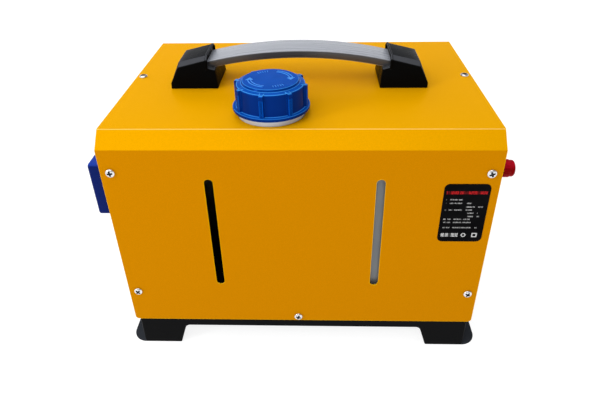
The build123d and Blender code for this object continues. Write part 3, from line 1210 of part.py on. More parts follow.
# ---------------------------------------------------------------- controller
FACE_WIDTH = CONTROL_WIDTH - 2 * CONTROL_WALL
FACE_HEIGHT = CONTROL_HEIGHT - 2 * CONTROL_WALL
FACE_CORNER = 4.0
BACK_WALL = 2.0
STANDOFF = 2.0
STANDOFF_R = 2.5
BOARD_BACK = -PANEL_FACE - BACK_WALL - STANDOFF
BOARD_FRONT = BOARD_BACK - BOARD_THICKNESS
BOARD_WIDTH = FACE_WIDTH - 8.0
BOARD_HEIGHT = FACE_HEIGHT - 8.0
LCD_Y = CONTROL_Y + LCD_OFFSET
BUTTON_Y = CONTROL_Y + BUTTON_OFFSET
BUTTONS = {
    "up_button": (BUTTON_Y + BUTTON_PITCH_Y / 2, CONTROL_Z + BUTTON_PITCH_Z / 2),
    "down_button": (BUTTON_Y + BUTTON_PITCH_Y / 2, CONTROL_Z - BUTTON_PITCH_Z / 2),
    "set_button": (BUTTON_Y - BUTTON_PITCH_Y / 2, CONTROL_Z + BUTTON_PITCH_Z / 2),
    "power_button": (BUTTON_Y - BUTTON_PITCH_Y / 2, CONTROL_Z - BUTTON_PITCH_Z / 2),
}
BUTTON_OUTER = FACE_OUTER - BUTTON_PROUD
BUTTON_FLANGE = FACE_INNER + 0.2
BUTTON_STEM = BUTTON_FLANGE + 2.2
SWITCH_TOP = BUTTON_STEM + BUTTON_TRAVEL + 0.1

with BuildPart() as controller_frame:
    with BuildSketch(Plane.YZ.offset(CONTROL_FRONT)):
        with Locations((CONTROL_Y, CONTROL_Z)):
            RectangleRounded(CONTROL_WIDTH, CONTROL_HEIGHT, CONTROL_CORNER)
    extrude(amount=CONTROL_DEPTH)
    fillet(controller_frame.faces().sort_by(Axis.X)[0].edges(), CONTROL_EDGE)
    with BuildSketch(Plane.YZ.offset(CONTROL_FRONT)):
        with Locations((CONTROL_Y, CONTROL_Z)):
            RectangleRounded(FACE_WIDTH, FACE_HEIGHT, FACE_CORNER)
    extrude(amount=FACE_INNER - CONTROL_FRONT, mode=Mode.SUBTRACT)
    with BuildSketch(Plane.YZ.offset(FACE_INNER)):
        with Locations((CONTROL_Y, CONTROL_Z)):
            RectangleRounded(FACE_WIDTH - 4, FACE_HEIGHT - 4, FACE_CORNER - 2)
    extrude(amount=-PANEL_FACE - BACK_WALL - FACE_INNER, mode=Mode.SUBTRACT)
    rod_x(CONTROL_Y, CONTROL_Z, -PANEL_FACE - BACK_WALL, -PANEL_FACE, CABLE_HOLE_R, Mode.SUBTRACT)
    with Locations(Plane(origin=(BOARD_BACK + STANDOFF / 2, CONTROL_Y, CONTROL_Z), z_dir=(1, 0, 0))):
        with GridLocations(BOARD_HEIGHT - 8, BOARD_WIDTH - 8, 2, 2):
            Cylinder(STANDOFF_R, STANDOFF)
write(controller_frame, "controller_frame")

with BuildPart() as controller_face:
    with BuildSketch(Plane.YZ.offset(FACE_OUTER)):
        with Locations((CONTROL_Y, CONTROL_Z)):
            RectangleRounded(FACE_WIDTH - 0.2, FACE_HEIGHT - 0.2, FACE_CORNER - 0.1)
        with Locations((LCD_Y, CONTROL_Z)):
            Rectangle(LCD_WIDTH, LCD_HEIGHT, mode=Mode.SUBTRACT)
        with Locations(*BUTTONS.values()):
            Circle(BUTTON_R + BUTTON_GAP, mode=Mode.SUBTRACT)
    extrude(amount=FACE_THICKNESS)
write(controller_face, "controller_face")

with BuildPart() as lcd_window:
    with BuildSketch(Plane.YZ.offset(FACE_OUTER)):
        with Locations((LCD_Y, CONTROL_Z)):
            Rectangle(LCD_WIDTH - 0.2, LCD_HEIGHT - 0.2)
    extrude(amount=FACE_THICKNESS)
write(lcd_window, "lcd_window")

with BuildPart() as controller_board:
    board_y = (CONTROL_Y - BOARD_WIDTH / 2, CONTROL_Y + BOARD_WIDTH / 2)
    board_z = (CONTROL_Z - BOARD_HEIGHT / 2, CONTROL_Z + BOARD_HEIGHT / 2)
    block(BOARD_FRONT, BOARD_BACK, *board_y, *board_z)
    lcd_y = (LCD_Y - LCD_WIDTH / 2 - 1, LCD_Y + LCD_WIDTH / 2 + 1)
    lcd_z = (CONTROL_Z - LCD_HEIGHT / 2 - 1, CONTROL_Z + LCD_HEIGHT / 2 + 1)
    block(FACE_INNER + 0.1, BOARD_FRONT, *lcd_y, *lcd_z)
    for y, z in BUTTONS.values():
        block(SWITCH_TOP + 4, BOARD_FRONT, y - 3, y + 3, z - 3, z + 3)
        rod_x(y, z, SWITCH_TOP, SWITCH_TOP + 4, 1.75)
write(controller_board, "controller_board")

for label, (y, z) in BUTTONS.items():
    with BuildPart() as button:
        rod_x(y, z, BUTTON_OUTER, BUTTON_FLANGE, BUTTON_R)
        fillet(button.edges().sort_by(Axis.X)[0], 0.8)
        rod_x(y, z, BUTTON_FLANGE, BUTTON_FLANGE + 1, BUTTON_R + 1.2)
        rod_x(y, z, BUTTON_FLANGE + 1, BUTTON_STEM, BUTTON_R / 2)
    write(button, label)

# ---------------------------------------------------------------- terminals and leads
BASE_END = PANEL_FACE + TERMINAL_BASE
WASHER_LEFT = BASE_END + TERMINAL_GAP
WASHER_RIGHT = WASHER_LEFT + WASHER_T
CAP_LEFT = WASHER_RIGHT + TERMINAL_GAP
CAP_ROOT_END = CAP_LEFT + TERMINAL_ROOT
CAP_END = CAP_ROOT_END + TERMINAL_HEAD
POST_TIP = CAP_END - POST_TIP_GAP
BOSS_END = PANEL_INNER - BOSS_REACH
TERMINALS = {"positive": POSITIVE_Y, "negative": NEGATIVE_Y}

with BuildPart() as terminal_posts:
    for y in TERMINALS.values():
        rod_x(y, TERMINAL_Z, POST_END, POST_TIP, M6_R)
        rod_x(y, TERMINAL_Z, BOSS_END - M6_NUT_H, BOSS_END, M6_HEX_R)
write(terminal_posts, "terminal_posts")

for label, y in TERMINALS.items():
    with BuildPart() as insulator:
        rod_x(y, TERMINAL_Z, PANEL_FACE, BASE_END, TERMINAL_R)
        fillet(insulator.edges().sort_by(Axis.X)[-1], 0.6)
        rod_x(y, TERMINAL_Z, BOSS_END, PANEL_FACE, TERMINAL_BOSS_R)
        rod_x(y, TERMINAL_Z, BOSS_END, BASE_END, M6_R, Mode.SUBTRACT)
    write(insulator, f"{label}_insulator")

    with BuildPart() as washer:
        rod_x(y, TERMINAL_Z, WASHER_LEFT, WASHER_RIGHT, WASHER_R)
        rod_x(y, TERMINAL_Z, WASHER_LEFT, WASHER_RIGHT, M6_R + 0.2, Mode.SUBTRACT)
    write(washer, f"{label}_washer")

    with BuildPart() as terminal_cap:
        with BuildSketch(Plane.YZ.offset(CAP_LEFT)):
            with Locations((y, TERMINAL_Z)):
                Circle(TERMINAL_R)
                with PolarLocations(TERMINAL_R, TERMINAL_GRIPS):
                    Circle(0.6, mode=Mode.SUBTRACT)
        extrude(amount=TERMINAL_ROOT)
        rod_x(y, TERMINAL_Z, CAP_ROOT_END, CAP_END, TERMINAL_HEAD_R)
        fillet(terminal_cap.edges().sort_by(Axis.X)[-1], 2.5)
        rod_x(y, TERMINAL_Z, CAP_LEFT, POST_TIP + 1, M6_R + 0.08, Mode.SUBTRACT)
    write(terminal_cap, f"{label}_cap")

with BuildPart() as power_leads:
    for terminal_y, run_x, entry in POWER_RUNS:
        tube(
            [
                (POST_END, terminal_y, TERMINAL_Z),
                (run_x, terminal_y, TERMINAL_Z),
                (run_x, entry[1], TERMINAL_Z),
                (*entry, TERMINAL_Z),
                (*entry, UNIT_TOP),
            ],
            LEAD_BEND,
            LEAD_R,
            0,
        )
write(power_leads, "power_leads")

with BuildPart() as signal_leads:
    tube(
        [
            (BOARD_BACK, CONTROL_Y, LEAD_LEVEL),
            (CONTROL_RUN_X, CONTROL_Y, LEAD_LEVEL),
            (CONTROL_RUN_X, CONTROL_ENTRY[1], LEAD_LEVEL),
            (*CONTROL_ENTRY, LEAD_LEVEL),
            (*CONTROL_ENTRY, UNIT_TOP),
        ],
        LEAD_BEND,
        LEAD_R,
        0,
    )
    tube(
        [
            (PUMP_X, plug_end, PLUG_Z),
            (PUMP_X, RUN_Y, PLUG_Z),
            (PUMP_X, RUN_Y, LEAD_TOP),
            (PUMP_X, PUMP_ENTRY[1], LEAD_TOP),
            (*PUMP_ENTRY, LEAD_TOP),
            (*PUMP_ENTRY, UNIT_TOP),
        ],
        LEAD_BEND,
        LEAD_R,
        0,
    )
write(signal_leads, "signal_leads")
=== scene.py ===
import json
import math

import bmesh
import bpy
from mathutils import Matrix, Vector


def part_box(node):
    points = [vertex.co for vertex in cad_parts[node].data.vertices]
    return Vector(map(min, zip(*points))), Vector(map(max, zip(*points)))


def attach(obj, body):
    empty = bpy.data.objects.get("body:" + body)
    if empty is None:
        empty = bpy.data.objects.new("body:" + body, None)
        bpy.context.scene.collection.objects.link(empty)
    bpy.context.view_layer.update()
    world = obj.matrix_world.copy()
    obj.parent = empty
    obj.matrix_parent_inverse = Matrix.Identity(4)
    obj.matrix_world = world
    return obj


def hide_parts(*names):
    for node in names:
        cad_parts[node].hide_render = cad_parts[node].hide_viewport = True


# Looks of the diesel air heater. Metres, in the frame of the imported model: +X along the case, +Y towards its
# back, +Z up, origin on the floor.

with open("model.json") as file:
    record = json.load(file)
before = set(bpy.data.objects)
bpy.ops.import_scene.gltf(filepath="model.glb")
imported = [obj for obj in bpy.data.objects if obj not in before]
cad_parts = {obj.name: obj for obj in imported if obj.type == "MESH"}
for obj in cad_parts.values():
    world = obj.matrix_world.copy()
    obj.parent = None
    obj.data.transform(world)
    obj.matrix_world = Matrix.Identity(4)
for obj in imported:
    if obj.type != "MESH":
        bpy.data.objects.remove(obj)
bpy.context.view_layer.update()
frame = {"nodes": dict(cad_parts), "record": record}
NODES = frame["nodes"]

MM = 0.001
TAU = 2 * math.pi


# ---------------- shader nodes
def principled(name):
    """A new material, its node tree and its shader."""
    material = bpy.data.materials.new(name)
    material.use_nodes = True
    tree = material.node_tree
    return material, tree, tree.nodes["Principled BSDF"]


def set_inputs(node, **values):
    """Set a node's inputs by their names, with _ for a space."""
    for name, value in values.items():
        node.inputs[name.replace("_", " ")].default_value = value


def maths(tree, operation, *values):
    """What a Math node makes of numbers and sockets."""
    node = tree.nodes.new("ShaderNodeMath")
    node.operation = operation
    for socket, value in zip(node.inputs, values):
        if isinstance(value, bpy.types.NodeSocket):
            tree.links.new(value, socket)
        else:
            socket.default_value = value
    return node.outputs[0]


def split_vector(tree, node_type, output):
    """The X, Y and Z sockets of a vector that a new node of some type puts out."""
    source = tree.nodes.new(node_type)
    split = tree.nodes.new("ShaderNodeSeparateXYZ")
    tree.links.new(source.outputs[output], split.inputs["Vector"])
    return split.outputs


def noise_node(tree, scale, detail=3.0, stretch=(1, 1, 1)):
    """Noise in object coordinates, which are metres in the model's frame. Scale is turns per metre."""
    coordinates = tree.nodes.new("ShaderNodeTexCoord")
    mapping = tree.nodes.new("ShaderNodeMapping")
    set_inputs(mapping, Scale=stretch)
    texture = tree.nodes.new("ShaderNodeTexNoise")
    set_inputs(texture, Scale=scale, Detail=detail, Roughness=0.55)
    tree.links.new(coordinates.outputs["Object"], mapping.inputs["Vector"])
    tree.links.new(mapping.outputs["Vector"], texture.inputs["Vector"])
    return texture.outputs["Fac"]


def spread(tree, value, low, high, from_low=0.3, from_high=0.7):
    """Value turned smoothly from low to high. Noise lies mostly in the range that it starts with."""
    node = tree.nodes.new("ShaderNodeMapRange")
    node.interpolation_type = "SMOOTHSTEP"
    set_inputs(node, From_Min=from_low, From_Max=from_high, To_Min=low, To_Max=high)
    tree.links.new(value, node.inputs["Value"])
    return node.outputs["Result"]


MIX_FIRST, MIX_SECOND, MIX_RESULT = 6, 7, 2  # where a Mix node has its colour sockets


def mix_colour(tree, factor, first, second):
    """A colour between first and second, each a colour or a socket."""
    node = tree.nodes.new("ShaderNodeMix")
    node.data_type = "RGBA"
    tree.links.new(factor, node.inputs["Factor"])
    for socket, value in ((node.inputs[MIX_FIRST], first), (node.inputs[MIX_SECOND], second)):
        if isinstance(value, bpy.types.NodeSocket):
            tree.links.new(value, socket)
        else:
            socket.default_value = (*value, 1)
    return node.outputs[MIX_RESULT]


def bump(tree, height, depth, normal=None):
    """A bump of depth metres, over another normal where one is given."""
    node = tree.nodes.new("ShaderNodeBump")
    set_inputs(node, Distance=depth)
    tree.links.new(height, node.inputs["Height"])
    if normal is not None:
        tree.links.new(normal, node.inputs["Normal"])
    return node.outputs["Normal"]


def tint(colour, share):
    """A colour made lighter by a share, or darker by a negative one."""
    return tuple(min(1.0, channel * (1 + share)) for channel in colour)


EDGE_COSINES = (0.75, 0.99)  # of the angle between a rounded and the real normal: full edge, and none


def edge_highlight_mask(tree, radius):
    """Near 1 at edges and corners within radius, else 0: where highlights are painted along edges."""
    bevel = tree.nodes.new("ShaderNodeBevel")
    bevel.samples = 4
    set_inputs(bevel, Radius=radius)
    geometry = tree.nodes.new("ShaderNodeNewGeometry")
    dot = tree.nodes.new("ShaderNodeVectorMath")
    dot.operation = "DOT_PRODUCT"
    tree.links.new(bevel.outputs["Normal"], dot.inputs[0])
    tree.links.new(geometry.outputs["Normal"], dot.inputs[1])
    return spread(tree, dot.outputs["Value"], 1.0, 0.0, *EDGE_COSINES)


# Ranges of the size of the normal's Z, which is 0 on upright faces and 1 on level ones. They set where
# painted shade on upright faces gives way to the lit top colour, and where a painted highlight line on slopes
# comes and goes.
SHADED_SIDE_TO_LIT_TOP = (0.25, 0.9)
HIGHLIGHT_COMES = (0.73, 0.8)
HIGHLIGHT_GOES = (0.92, 0.965)


def paint_light_by_slope(tree, top, side, fold_line):
    """The lit top colour on level faces, side on upright ones as painted shade and, where given, a painted
    highlight line's colour on slopes.
    """
    level = maths(tree, "ABSOLUTE", split_vector(tree, "ShaderNodeNewGeometry", "Normal")["Z"])
    base = mix_colour(tree, spread(tree, level, 0.0, 1.0, *SHADED_SIDE_TO_LIT_TOP), side, top)
    if fold_line:
        comes = spread(tree, level, 0.0, 1.0, *HIGHLIGHT_COMES)
        goes = spread(tree, level, 1.0, 0.0, *HIGHLIGHT_GOES)
        base = mix_colour(tree, maths(tree, "MULTIPLY", comes, goes), base, fold_line)
    return base


# ---------------- materials
GLOSS_FINENESS = 2.3  # turns of the gloss's noise for one of the mottle's


def finish_material(
    name,
    colour,
    roughness,
    metallic=0.0,
    mottle=0.06,
    mottle_scale=25,
    stretch=(1, 1, 1),
    rough_spread=0.06,
    grain=900,
    grain_depth=0.00001,
    wave_depth=0.0,
    wave_scale=7,
    edge=0.0,
    edge_radius=0.0008,
    side=None,
    fold_line=None,
    **sockets,
):
    """A surface with uneven colour and gloss, a fine grain and, where asked, waves, lighter edges that are
    painted highlights, and painted shade and highlight lines by slope.

    mottle and edge are shares of the colour, edge being that of the painted edge highlight. mottle_scale,
    grain and wave_scale are turns per metre, depths and radii metres. side is a darker colour painted on
    upright faces as shade, and fold_line a lighter one painted on slopes as a highlight line. Other names are
    inputs of the shader.
    """
    material, tree, shader = principled(name)
    shade = spread(tree, noise_node(tree, mottle_scale, detail=4.0, stretch=stretch), 0.0, 1.0)
    base = mix_colour(tree, shade, tint(colour, -mottle), tint(colour, mottle))
    # Painted shade: upright faces take the darker side colour, and painted highlight lines lie on slopes.
    if side:
        base = paint_light_by_slope(tree, base, side, fold_line)
    # Painted highlights along edges.
    if edge:
        base = mix_colour(tree, edge_highlight_mask(tree, edge_radius), base, tint(colour, edge))
    tree.links.new(base, shader.inputs["Base Color"])
    gloss = noise_node(tree, mottle_scale * GLOSS_FINENESS, stretch=stretch)
    uneven = spread(tree, gloss, roughness - rough_spread, roughness + rough_spread)
    tree.links.new(uneven, shader.inputs["Roughness"])
    normal = None
    if wave_depth:
        normal = bump(tree, noise_node(tree, wave_scale, detail=1.0), wave_depth)
    normal = bump(tree, noise_node(tree, grain, detail=2.0, stretch=stretch), grain_depth, normal)
    tree.links.new(normal, shader.inputs["Normal"])
    set_inputs(shader, Metallic=metallic, **sockets)
    return material


# The rating plate's print, in shares of the plate's width and height from its upper left corner.
PRINT_TITLE = (0.06, 0.94, 0.118, 0.168)  # left, right, top, bottom
PRINT_ROWS = (  # left, right, top
    (0.07, 0.52, 0.25),
    (0.08, 0.64, 0.31),
    (0.51, 0.9, 0.373),
    (0.07, 0.67, 0.425),
    (0.58, 0.81, 0.48),
    (0.59, 0.85, 0.537),
    (0.07, 0.66, 0.587),
    (0.085, 0.69, 0.643),
    (0.085, 0.85, 0.736),
)
PRINT_ROW_HEIGHT = 0.02
PRINT_BLOCK = (0.07, 0.45, 0.848, 0.912)
PRINT_RING_AT = (0.575, 0.88)
PRINT_RING_RADII = (0.033, 0.055)  # in shares of the width
PRINT_SQUARE = (0.76, 0.88, 0.842, 0.918)
PRINT_SQUARE_HOLE = (0.785, 0.855, 0.858, 0.902)
WORD_NOISE = dict(scale=260, detail=0.0, stretch=(1, 1, 0.03))
WORD_EDGES = (0.38, 0.46)  # values of the noise where a word begins, and where it is full
STROKE_NOISE = dict(scale=1500, detail=0.0, stretch=(1, 1, 0.4))
STROKE_EDGES = (0.4, 0.56)
BETWEEN_STROKES = 0.25  # how much of the print is left there
PRINT_RED = (0.5, 0.016, 0.018)
PRINT_PALE = (0.6, 0.6, 0.6)
FILM_DARK, FILM_LIGHT = (0.003, 0.003, 0.0035), (0.005, 0.005, 0.0055)


def plate_print(x0, z0, width, height):
    """The rating plate's face: black film with a red bar and rows of pale dashes, and no lettering."""
    material, tree, shader = principled("plate_print")
    place = split_vector(tree, "ShaderNodeTexCoord", "Object")

    def combine(operation, first, second):
        return maths(tree, operation, first, second)

    across = combine("DIVIDE", combine("SUBTRACT", place["X"], x0), width)
    down = combine("DIVIDE", combine("SUBTRACT", z0 + height, place["Z"]), height)

    def between(value, low, high):
        return combine("MULTIPLY", combine("GREATER_THAN", value, low), combine("LESS_THAN", value, high))

    def bar(left, right, top, bottom):
        return combine("MULTIPLY", between(across, left, right), between(down, top, bottom))

    def worn(mask, low, high):
        """A mask broken into word-like pieces, low between them and high on them."""
        words = spread(tree, noise_node(tree, **WORD_NOISE), low, high, *WORD_EDGES)
        strokes = spread(tree, noise_node(tree, **STROKE_NOISE), BETWEEN_STROKES, 1.0, *STROKE_EDGES)
        return combine("MULTIPLY", mask, combine("MULTIPLY", words, strokes))

    def any_of(*masks):
        result = masks[0]
        for mask in masks[1:]:
            result = combine("MAXIMUM", result, mask)
        return result

    aside = combine("SUBTRACT", across, PRINT_RING_AT[0])
    below = combine("MULTIPLY", combine("SUBTRACT", down, PRINT_RING_AT[1]), height / width)
    squares = combine("ADD", combine("MULTIPLY", aside, aside), combine("MULTIPLY", below, below))
    ring = between(maths(tree, "SQRT", squares), *PRINT_RING_RADII)
    square = combine("SUBTRACT", bar(*PRINT_SQUARE), bar(*PRINT_SQUARE_HOLE))
    rows = any_of(*(bar(left, right, top, top + PRINT_ROW_HEIGHT) for left, right, top in PRINT_ROWS))
    pale = any_of(worn(rows, 0.0, 0.6), worn(bar(*PRINT_BLOCK), 0.1, 1.0), ring, square)
    red = worn(bar(*PRINT_TITLE), 0.3, 1.0)

    film = mix_colour(tree, spread(tree, noise_node(tree, 60), 0.0, 1.0), FILM_DARK, FILM_LIGHT)
    base = mix_colour(tree, pale, film, PRINT_PALE)
    base = mix_colour(tree, red, base, PRINT_RED)
    tree.links.new(base, shader.inputs["Base Color"])
    tree.links.new(spread(tree, noise_node(tree, 90), 0.3, 0.42), shader.inputs["Roughness"])
    tree.links.new(bump(tree, noise_node(tree, 700), 0.000004), shader.inputs["Normal"])
    set_inputs(shader, Specular_IOR_Level=0.008)
    return material


# One finish for each material slot of the record. side paints upright faces darker as shade, fold_line paints
# a highlight line on slopes, and edge paints highlights along edges.
FINISHES = {
    "cover_yellow": dict(colour=(0.87, 0.405, 0.0), roughness=0.27, metallic=0.09, mottle=0.014,
                         mottle_scale=700, rough_spread=0.012, grain=1500, grain_depth=0.0000012,
                         wave_depth=0.0001, wave_scale=6, edge=0.5, edge_radius=0.0012,
                         Specular_IOR_Level=0.002, side=(0.586, 0.22, 0.0), fold_line=(0.98, 0.62, 0.13)),
    "panel_black": dict(colour=(0.012, 0.0125, 0.014), roughness=0.42, grain=1400, grain_depth=0.000006,
                        edge=1.5, Specular_IOR_Level=0.1),
    "base_black": dict(colour=(0.035, 0.039, 0.047), roughness=0.4, grain=1400, edge=0.8,
                       side=(0.005, 0.0051, 0.0055), Specular_IOR_Level=0.02),
    "galvanised": dict(colour=(0.26, 0.265, 0.27), roughness=0.4, metallic=1.0, mottle=0.12, mottle_scale=60),
    "screw_zinc": dict(colour=(0.75, 0.76, 0.78), roughness=0.2, metallic=1.0, mottle=0.05, mottle_scale=200),
    "plate_black": dict(colour=(0.004, 0.004, 0.0045), roughness=0.35, Specular_IOR_Level=0.03),
    "handle_grey": dict(colour=(0.385, 0.405, 0.455), roughness=0.3, mottle=0.03, mottle_scale=18,
                        stretch=(0.3, 6, 3), grain=1200, grain_depth=0.000002, side=(0.045, 0.046, 0.05)),
    "handle_black": dict(colour=(0.014, 0.015, 0.017), roughness=0.3, grain=1100, edge=1.0,
                         Specular_IOR_Level=0.01, side=(0.0025, 0.0025, 0.0025),
                         fold_line=(0.065, 0.068, 0.077)),
    # Darkened grey, not the plastic's own white: painted shade on the tank, which is seen inside the case
    # through the cover's slots.
    "tank_white": dict(colour=(0.215, 0.235, 0.25), roughness=0.38, mottle=0.04, mottle_scale=30,
                       wave_depth=0.0006, wave_scale=20, Subsurface_Weight=0.25,
                       Subsurface_Radius=(0.01, 0.01, 0.01), Subsurface_Scale=0.4),
    "cap_blue": dict(colour=(0.001, 0.08, 0.47), roughness=0.18, metallic=0.15, mottle=0.08,
                     mottle_scale=40, grain=700, edge=0.12, edge_radius=0.0005, Specular_IOR_Level=0.02,
                     side=(0.0004, 0.023, 0.18), fold_line=(0.05, 0.31, 0.82)),
    "seal_rubber": dict(colour=(0.02, 0.02, 0.02), roughness=0.6),
    "brass": dict(colour=(0.72, 0.5, 0.2), roughness=0.25, metallic=1.0),
    "filter_clear": dict(colour=(0.03, 0.028, 0.02), roughness=0.2, Transmission_Weight=0.5,
                         Specular_IOR_Level=0.1),
    "pump_black": dict(colour=(0.015, 0.015, 0.016), roughness=0.35),
    "plunger_steel": dict(colour=(0.7, 0.7, 0.7), roughness=0.12, metallic=1.0),
    "hose_black": dict(colour=(0.012, 0.012, 0.012), roughness=0.55),
    "line_green": dict(colour=(0.08, 0.3, 0.1), roughness=0.3),
    "shell_black": dict(colour=(0.014, 0.014, 0.015), roughness=0.45, grain=800, grain_depth=0.00002,
                        edge=1.0),
    "cast_aluminium": dict(colour=(0.5, 0.5, 0.5), roughness=0.5, metallic=1.0, mottle=0.15, mottle_scale=90,
                           grain=600, grain_depth=0.00004),
    "burner_steel": dict(colour=(0.4, 0.36, 0.32), roughness=0.4, metallic=1.0, mottle=0.2, mottle_scale=50),
    "motor_steel": dict(colour=(0.3, 0.31, 0.32), roughness=0.35, metallic=1.0, mottle=0.1),
    "fan_black": dict(colour=(0.016, 0.016, 0.016), roughness=0.4, edge=1.0),
    "gasket_grey": dict(colour=(0.08, 0.08, 0.08), roughness=0.7),
    "exhaust_steel": dict(colour=(0.5, 0.46, 0.4), roughness=0.32, metallic=1.0, mottle=0.12,
                          mottle_scale=70),
    "intake_black": dict(colour=(0.014, 0.014, 0.014), roughness=0.42),
    "controller_blue": dict(colour=(0.012, 0.05, 0.4), roughness=0.3, mottle=0.015, mottle_scale=40, edge=1.2,
                            Specular_IOR_Level=0.06, side=(0.001, 0.011, 0.125)),
    "face_black": dict(colour=(0.01, 0.01, 0.011), roughness=0.25),
    "lcd": dict(colour=(0.02, 0.03, 0.035), roughness=0.12),
    "board_green": dict(colour=(0.01, 0.12, 0.04), roughness=0.5),
    "button_rubber": dict(colour=(0.35, 0.36, 0.38), roughness=0.5),
    "terminal_red": dict(colour=(0.55, 0.006, 0.02), roughness=0.24, mottle=0.08, mottle_scale=120,
                         Specular_IOR_Level=0.03, side=(0.24, 0.0003, 0.001)),
    "terminal_black": dict(colour=(0.012, 0.012, 0.012), roughness=0.28),
    "lead_red": dict(colour=(0.4, 0.01, 0.01), roughness=0.45),
    "lead_grey": dict(colour=(0.03, 0.03, 0.03), roughness=0.5),
}
MATERIALS = {slot: finish_material(slot, **finish) for slot, finish in FINISHES.items()}

# Materials beside those of the slots.
# The neck keeps the plastic's own white, without the painted shade of the tank's material.
NECK = finish_material("neck_white", (0.68, 0.71, 0.76), 0.4, wave_depth=0.0002, wave_scale=30)
# The cap's marks are lighter than the cap: a painted highlight on the raised marks.
CAP_MARK_HIGHLIGHT = finish_material("cap_mark", (0.06, 0.3, 0.85), 0.25, Specular_IOR_Level=0.05)
# The screw recess material is a dark metal: painted shade inside the screw heads' crosses.
RECESS_SHADE = finish_material("screw_recess_shade", (0.05, 0.05, 0.055), 0.5, 1.0)
DIGITS = finish_material("display_digits", (0.35, 0.62, 0.7), 0.4, Emission_Color=(0.35, 0.7, 0.8, 1),
                         Emission_Strength=0.6)


def dress(piece, slot):
    """Give a piece one material in place of those it has: a slot's by its name, or any by itself."""
    piece.data.materials.clear()
    piece.data.materials.append(MATERIALS[slot] if isinstance(slot, str) else slot)


def dress_cad_nodes():
    """Give each CAD node its slot's material, and the filler neck a whiter one than the tank's, which is
    darkened as painted shade.
    """
    slot_of = {entry["node"]: entry["material_slot"] for entry in frame["record"]["subparts"]}
    for node_name, node in NODES.items():
        dress(node, slot_of[node_name])
    dress(NODES["filler_neck"], NECK)


# ---------------- mesh helpers
def add_object(name, data):
    """A new object in the scene."""
    thing = bpy.data.objects.new(name, data)
    bpy.context.scene.collection.objects.link(thing)
    return thing


# A shape is a pair of vertices and faces.
def piece_from(name, shape, slot, body="root", smooth_angle=35):
    """A mesh piece in the model's frame, riding on a body. Slot is a slot's name or a material."""
    vertices, faces = shape
    mesh = bpy.data.meshes.new(name)
    mesh.from_pydata([tuple(vertex) for vertex in vertices], [], faces)
    mesh.validate()
    work = bmesh.new()
    work.from_mesh(mesh)
    bmesh.ops.remove_doubles(work, verts=work.verts, dist=1e-7)
    bmesh.ops.recalc_face_normals(work, faces=work.faces)
    work.to_mesh(mesh)
    work.free()
    piece = add_object(name, mesh)
    mesh.shade_smooth()
    mesh.set_sharp_from_angle(angle=math.radians(smooth_angle))
    dress(piece, slot)
    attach(piece, body)
    return piece


def soften(piece, width, segments, angle, smooth_angle=40):
    """Round those edges of a piece that turn by more than angle degrees."""
    modifier = piece.modifiers.new("round", "BEVEL")
    modifier.width = width
    modifier.segments = segments
    modifier.limit_method = "ANGLE"
    modifier.angle_limit = math.radians(angle)
    graph = bpy.context.evaluated_depsgraph_get()
    final = bpy.data.meshes.new_from_object(piece.evaluated_get(graph))
    piece.modifiers.clear()
    old = piece.data
    piece.data = final
    bpy.data.meshes.remove(old)
    final.shade_smooth()
    final.set_sharp_from_angle(angle=math.radians(smooth_angle))


def middle_of(low, high):
    """The middle of a box, as x, y and z."""
    return tuple((a + b) / 2 for a, b in zip(low, high))


def clamped(value):
    """A value kept between 0 and 1."""
    return min(1, max(0, value))


def circle(count):
    """Points round a circle of radius 1, as (cosine, sine) pairs."""
    turns = [TAU * step / count for step in range(count)]
    return [(math.cos(turn), math.sin(turn)) for turn in turns]


def rounded(points, radii, steps=6):
    """A polyline of (a, b) pairs with its inner corners rounded, each in so many steps."""
    path = [points[0]]
    for before, corner, after, radius in zip(points, points[1:], points[2:], radii):
        corner = Vector(corner)
        back = (Vector(before) - corner).normalized()
        ahead = (Vector(after) - corner).normalized()
        half = back.angle(ahead) / 2
        if radius <= 0 or abs(half - math.pi / 2) < 1e-4:
            path.append(tuple(corner))
            continue
        reach = radius / math.tan(half)
        centre = corner + (back + ahead).normalized() * (radius / math.sin(half))
        start = corner + back * reach - centre
        end = corner + ahead * reach - centre
        for step in range(steps + 1):
            arm = start.lerp(end, step / steps)
            path.append(tuple(centre + arm.normalized() * radius))
    path.append(points[-1])
    return path


def rounded_rectangle(low, high, radius, steps):
    """The outline of a rectangle from its low to its high (a, b) corner, with round corners."""
    outline = []
    for a, b, first in (
        (high[0] - radius, high[1] - radius, 0),
        (low[0] + radius, high[1] - radius, 90),
        (low[0] + radius, low[1] + radius, 180),
        (high[0] - radius, low[1] + radius, 270),
    ):
        for step in range(steps + 1):
            turn = math.radians(first + 90 * step / steps)
            outline.append((a + radius * math.cos(turn), b + radius * math.sin(turn)))
    return outline


def subdivided(path, step_length):
    """A path of (a, b) pairs with its long runs cut into equal steps, none shorter than step_length."""
    fine = []
    for first, second in zip(path, path[1:]):
        steps = max(1, int(math.dist(first, second) / step_length))
        for step in range(steps):
            share = step / steps
            fine.append(tuple(a + (b - a) * share for a, b in zip(first, second)))
    fine.append(path[-1])
    return fine


AXES = {  # the directions of turn 0 and of a quarter turn, and the axis itself
    "X": (Vector((0, 1, 0)), Vector((0, 0, 1)), Vector((1, 0, 0))),
    "Z": (Vector((1, 0, 0)), Vector((0, 1, 0)), Vector((0, 0, 1))),
}


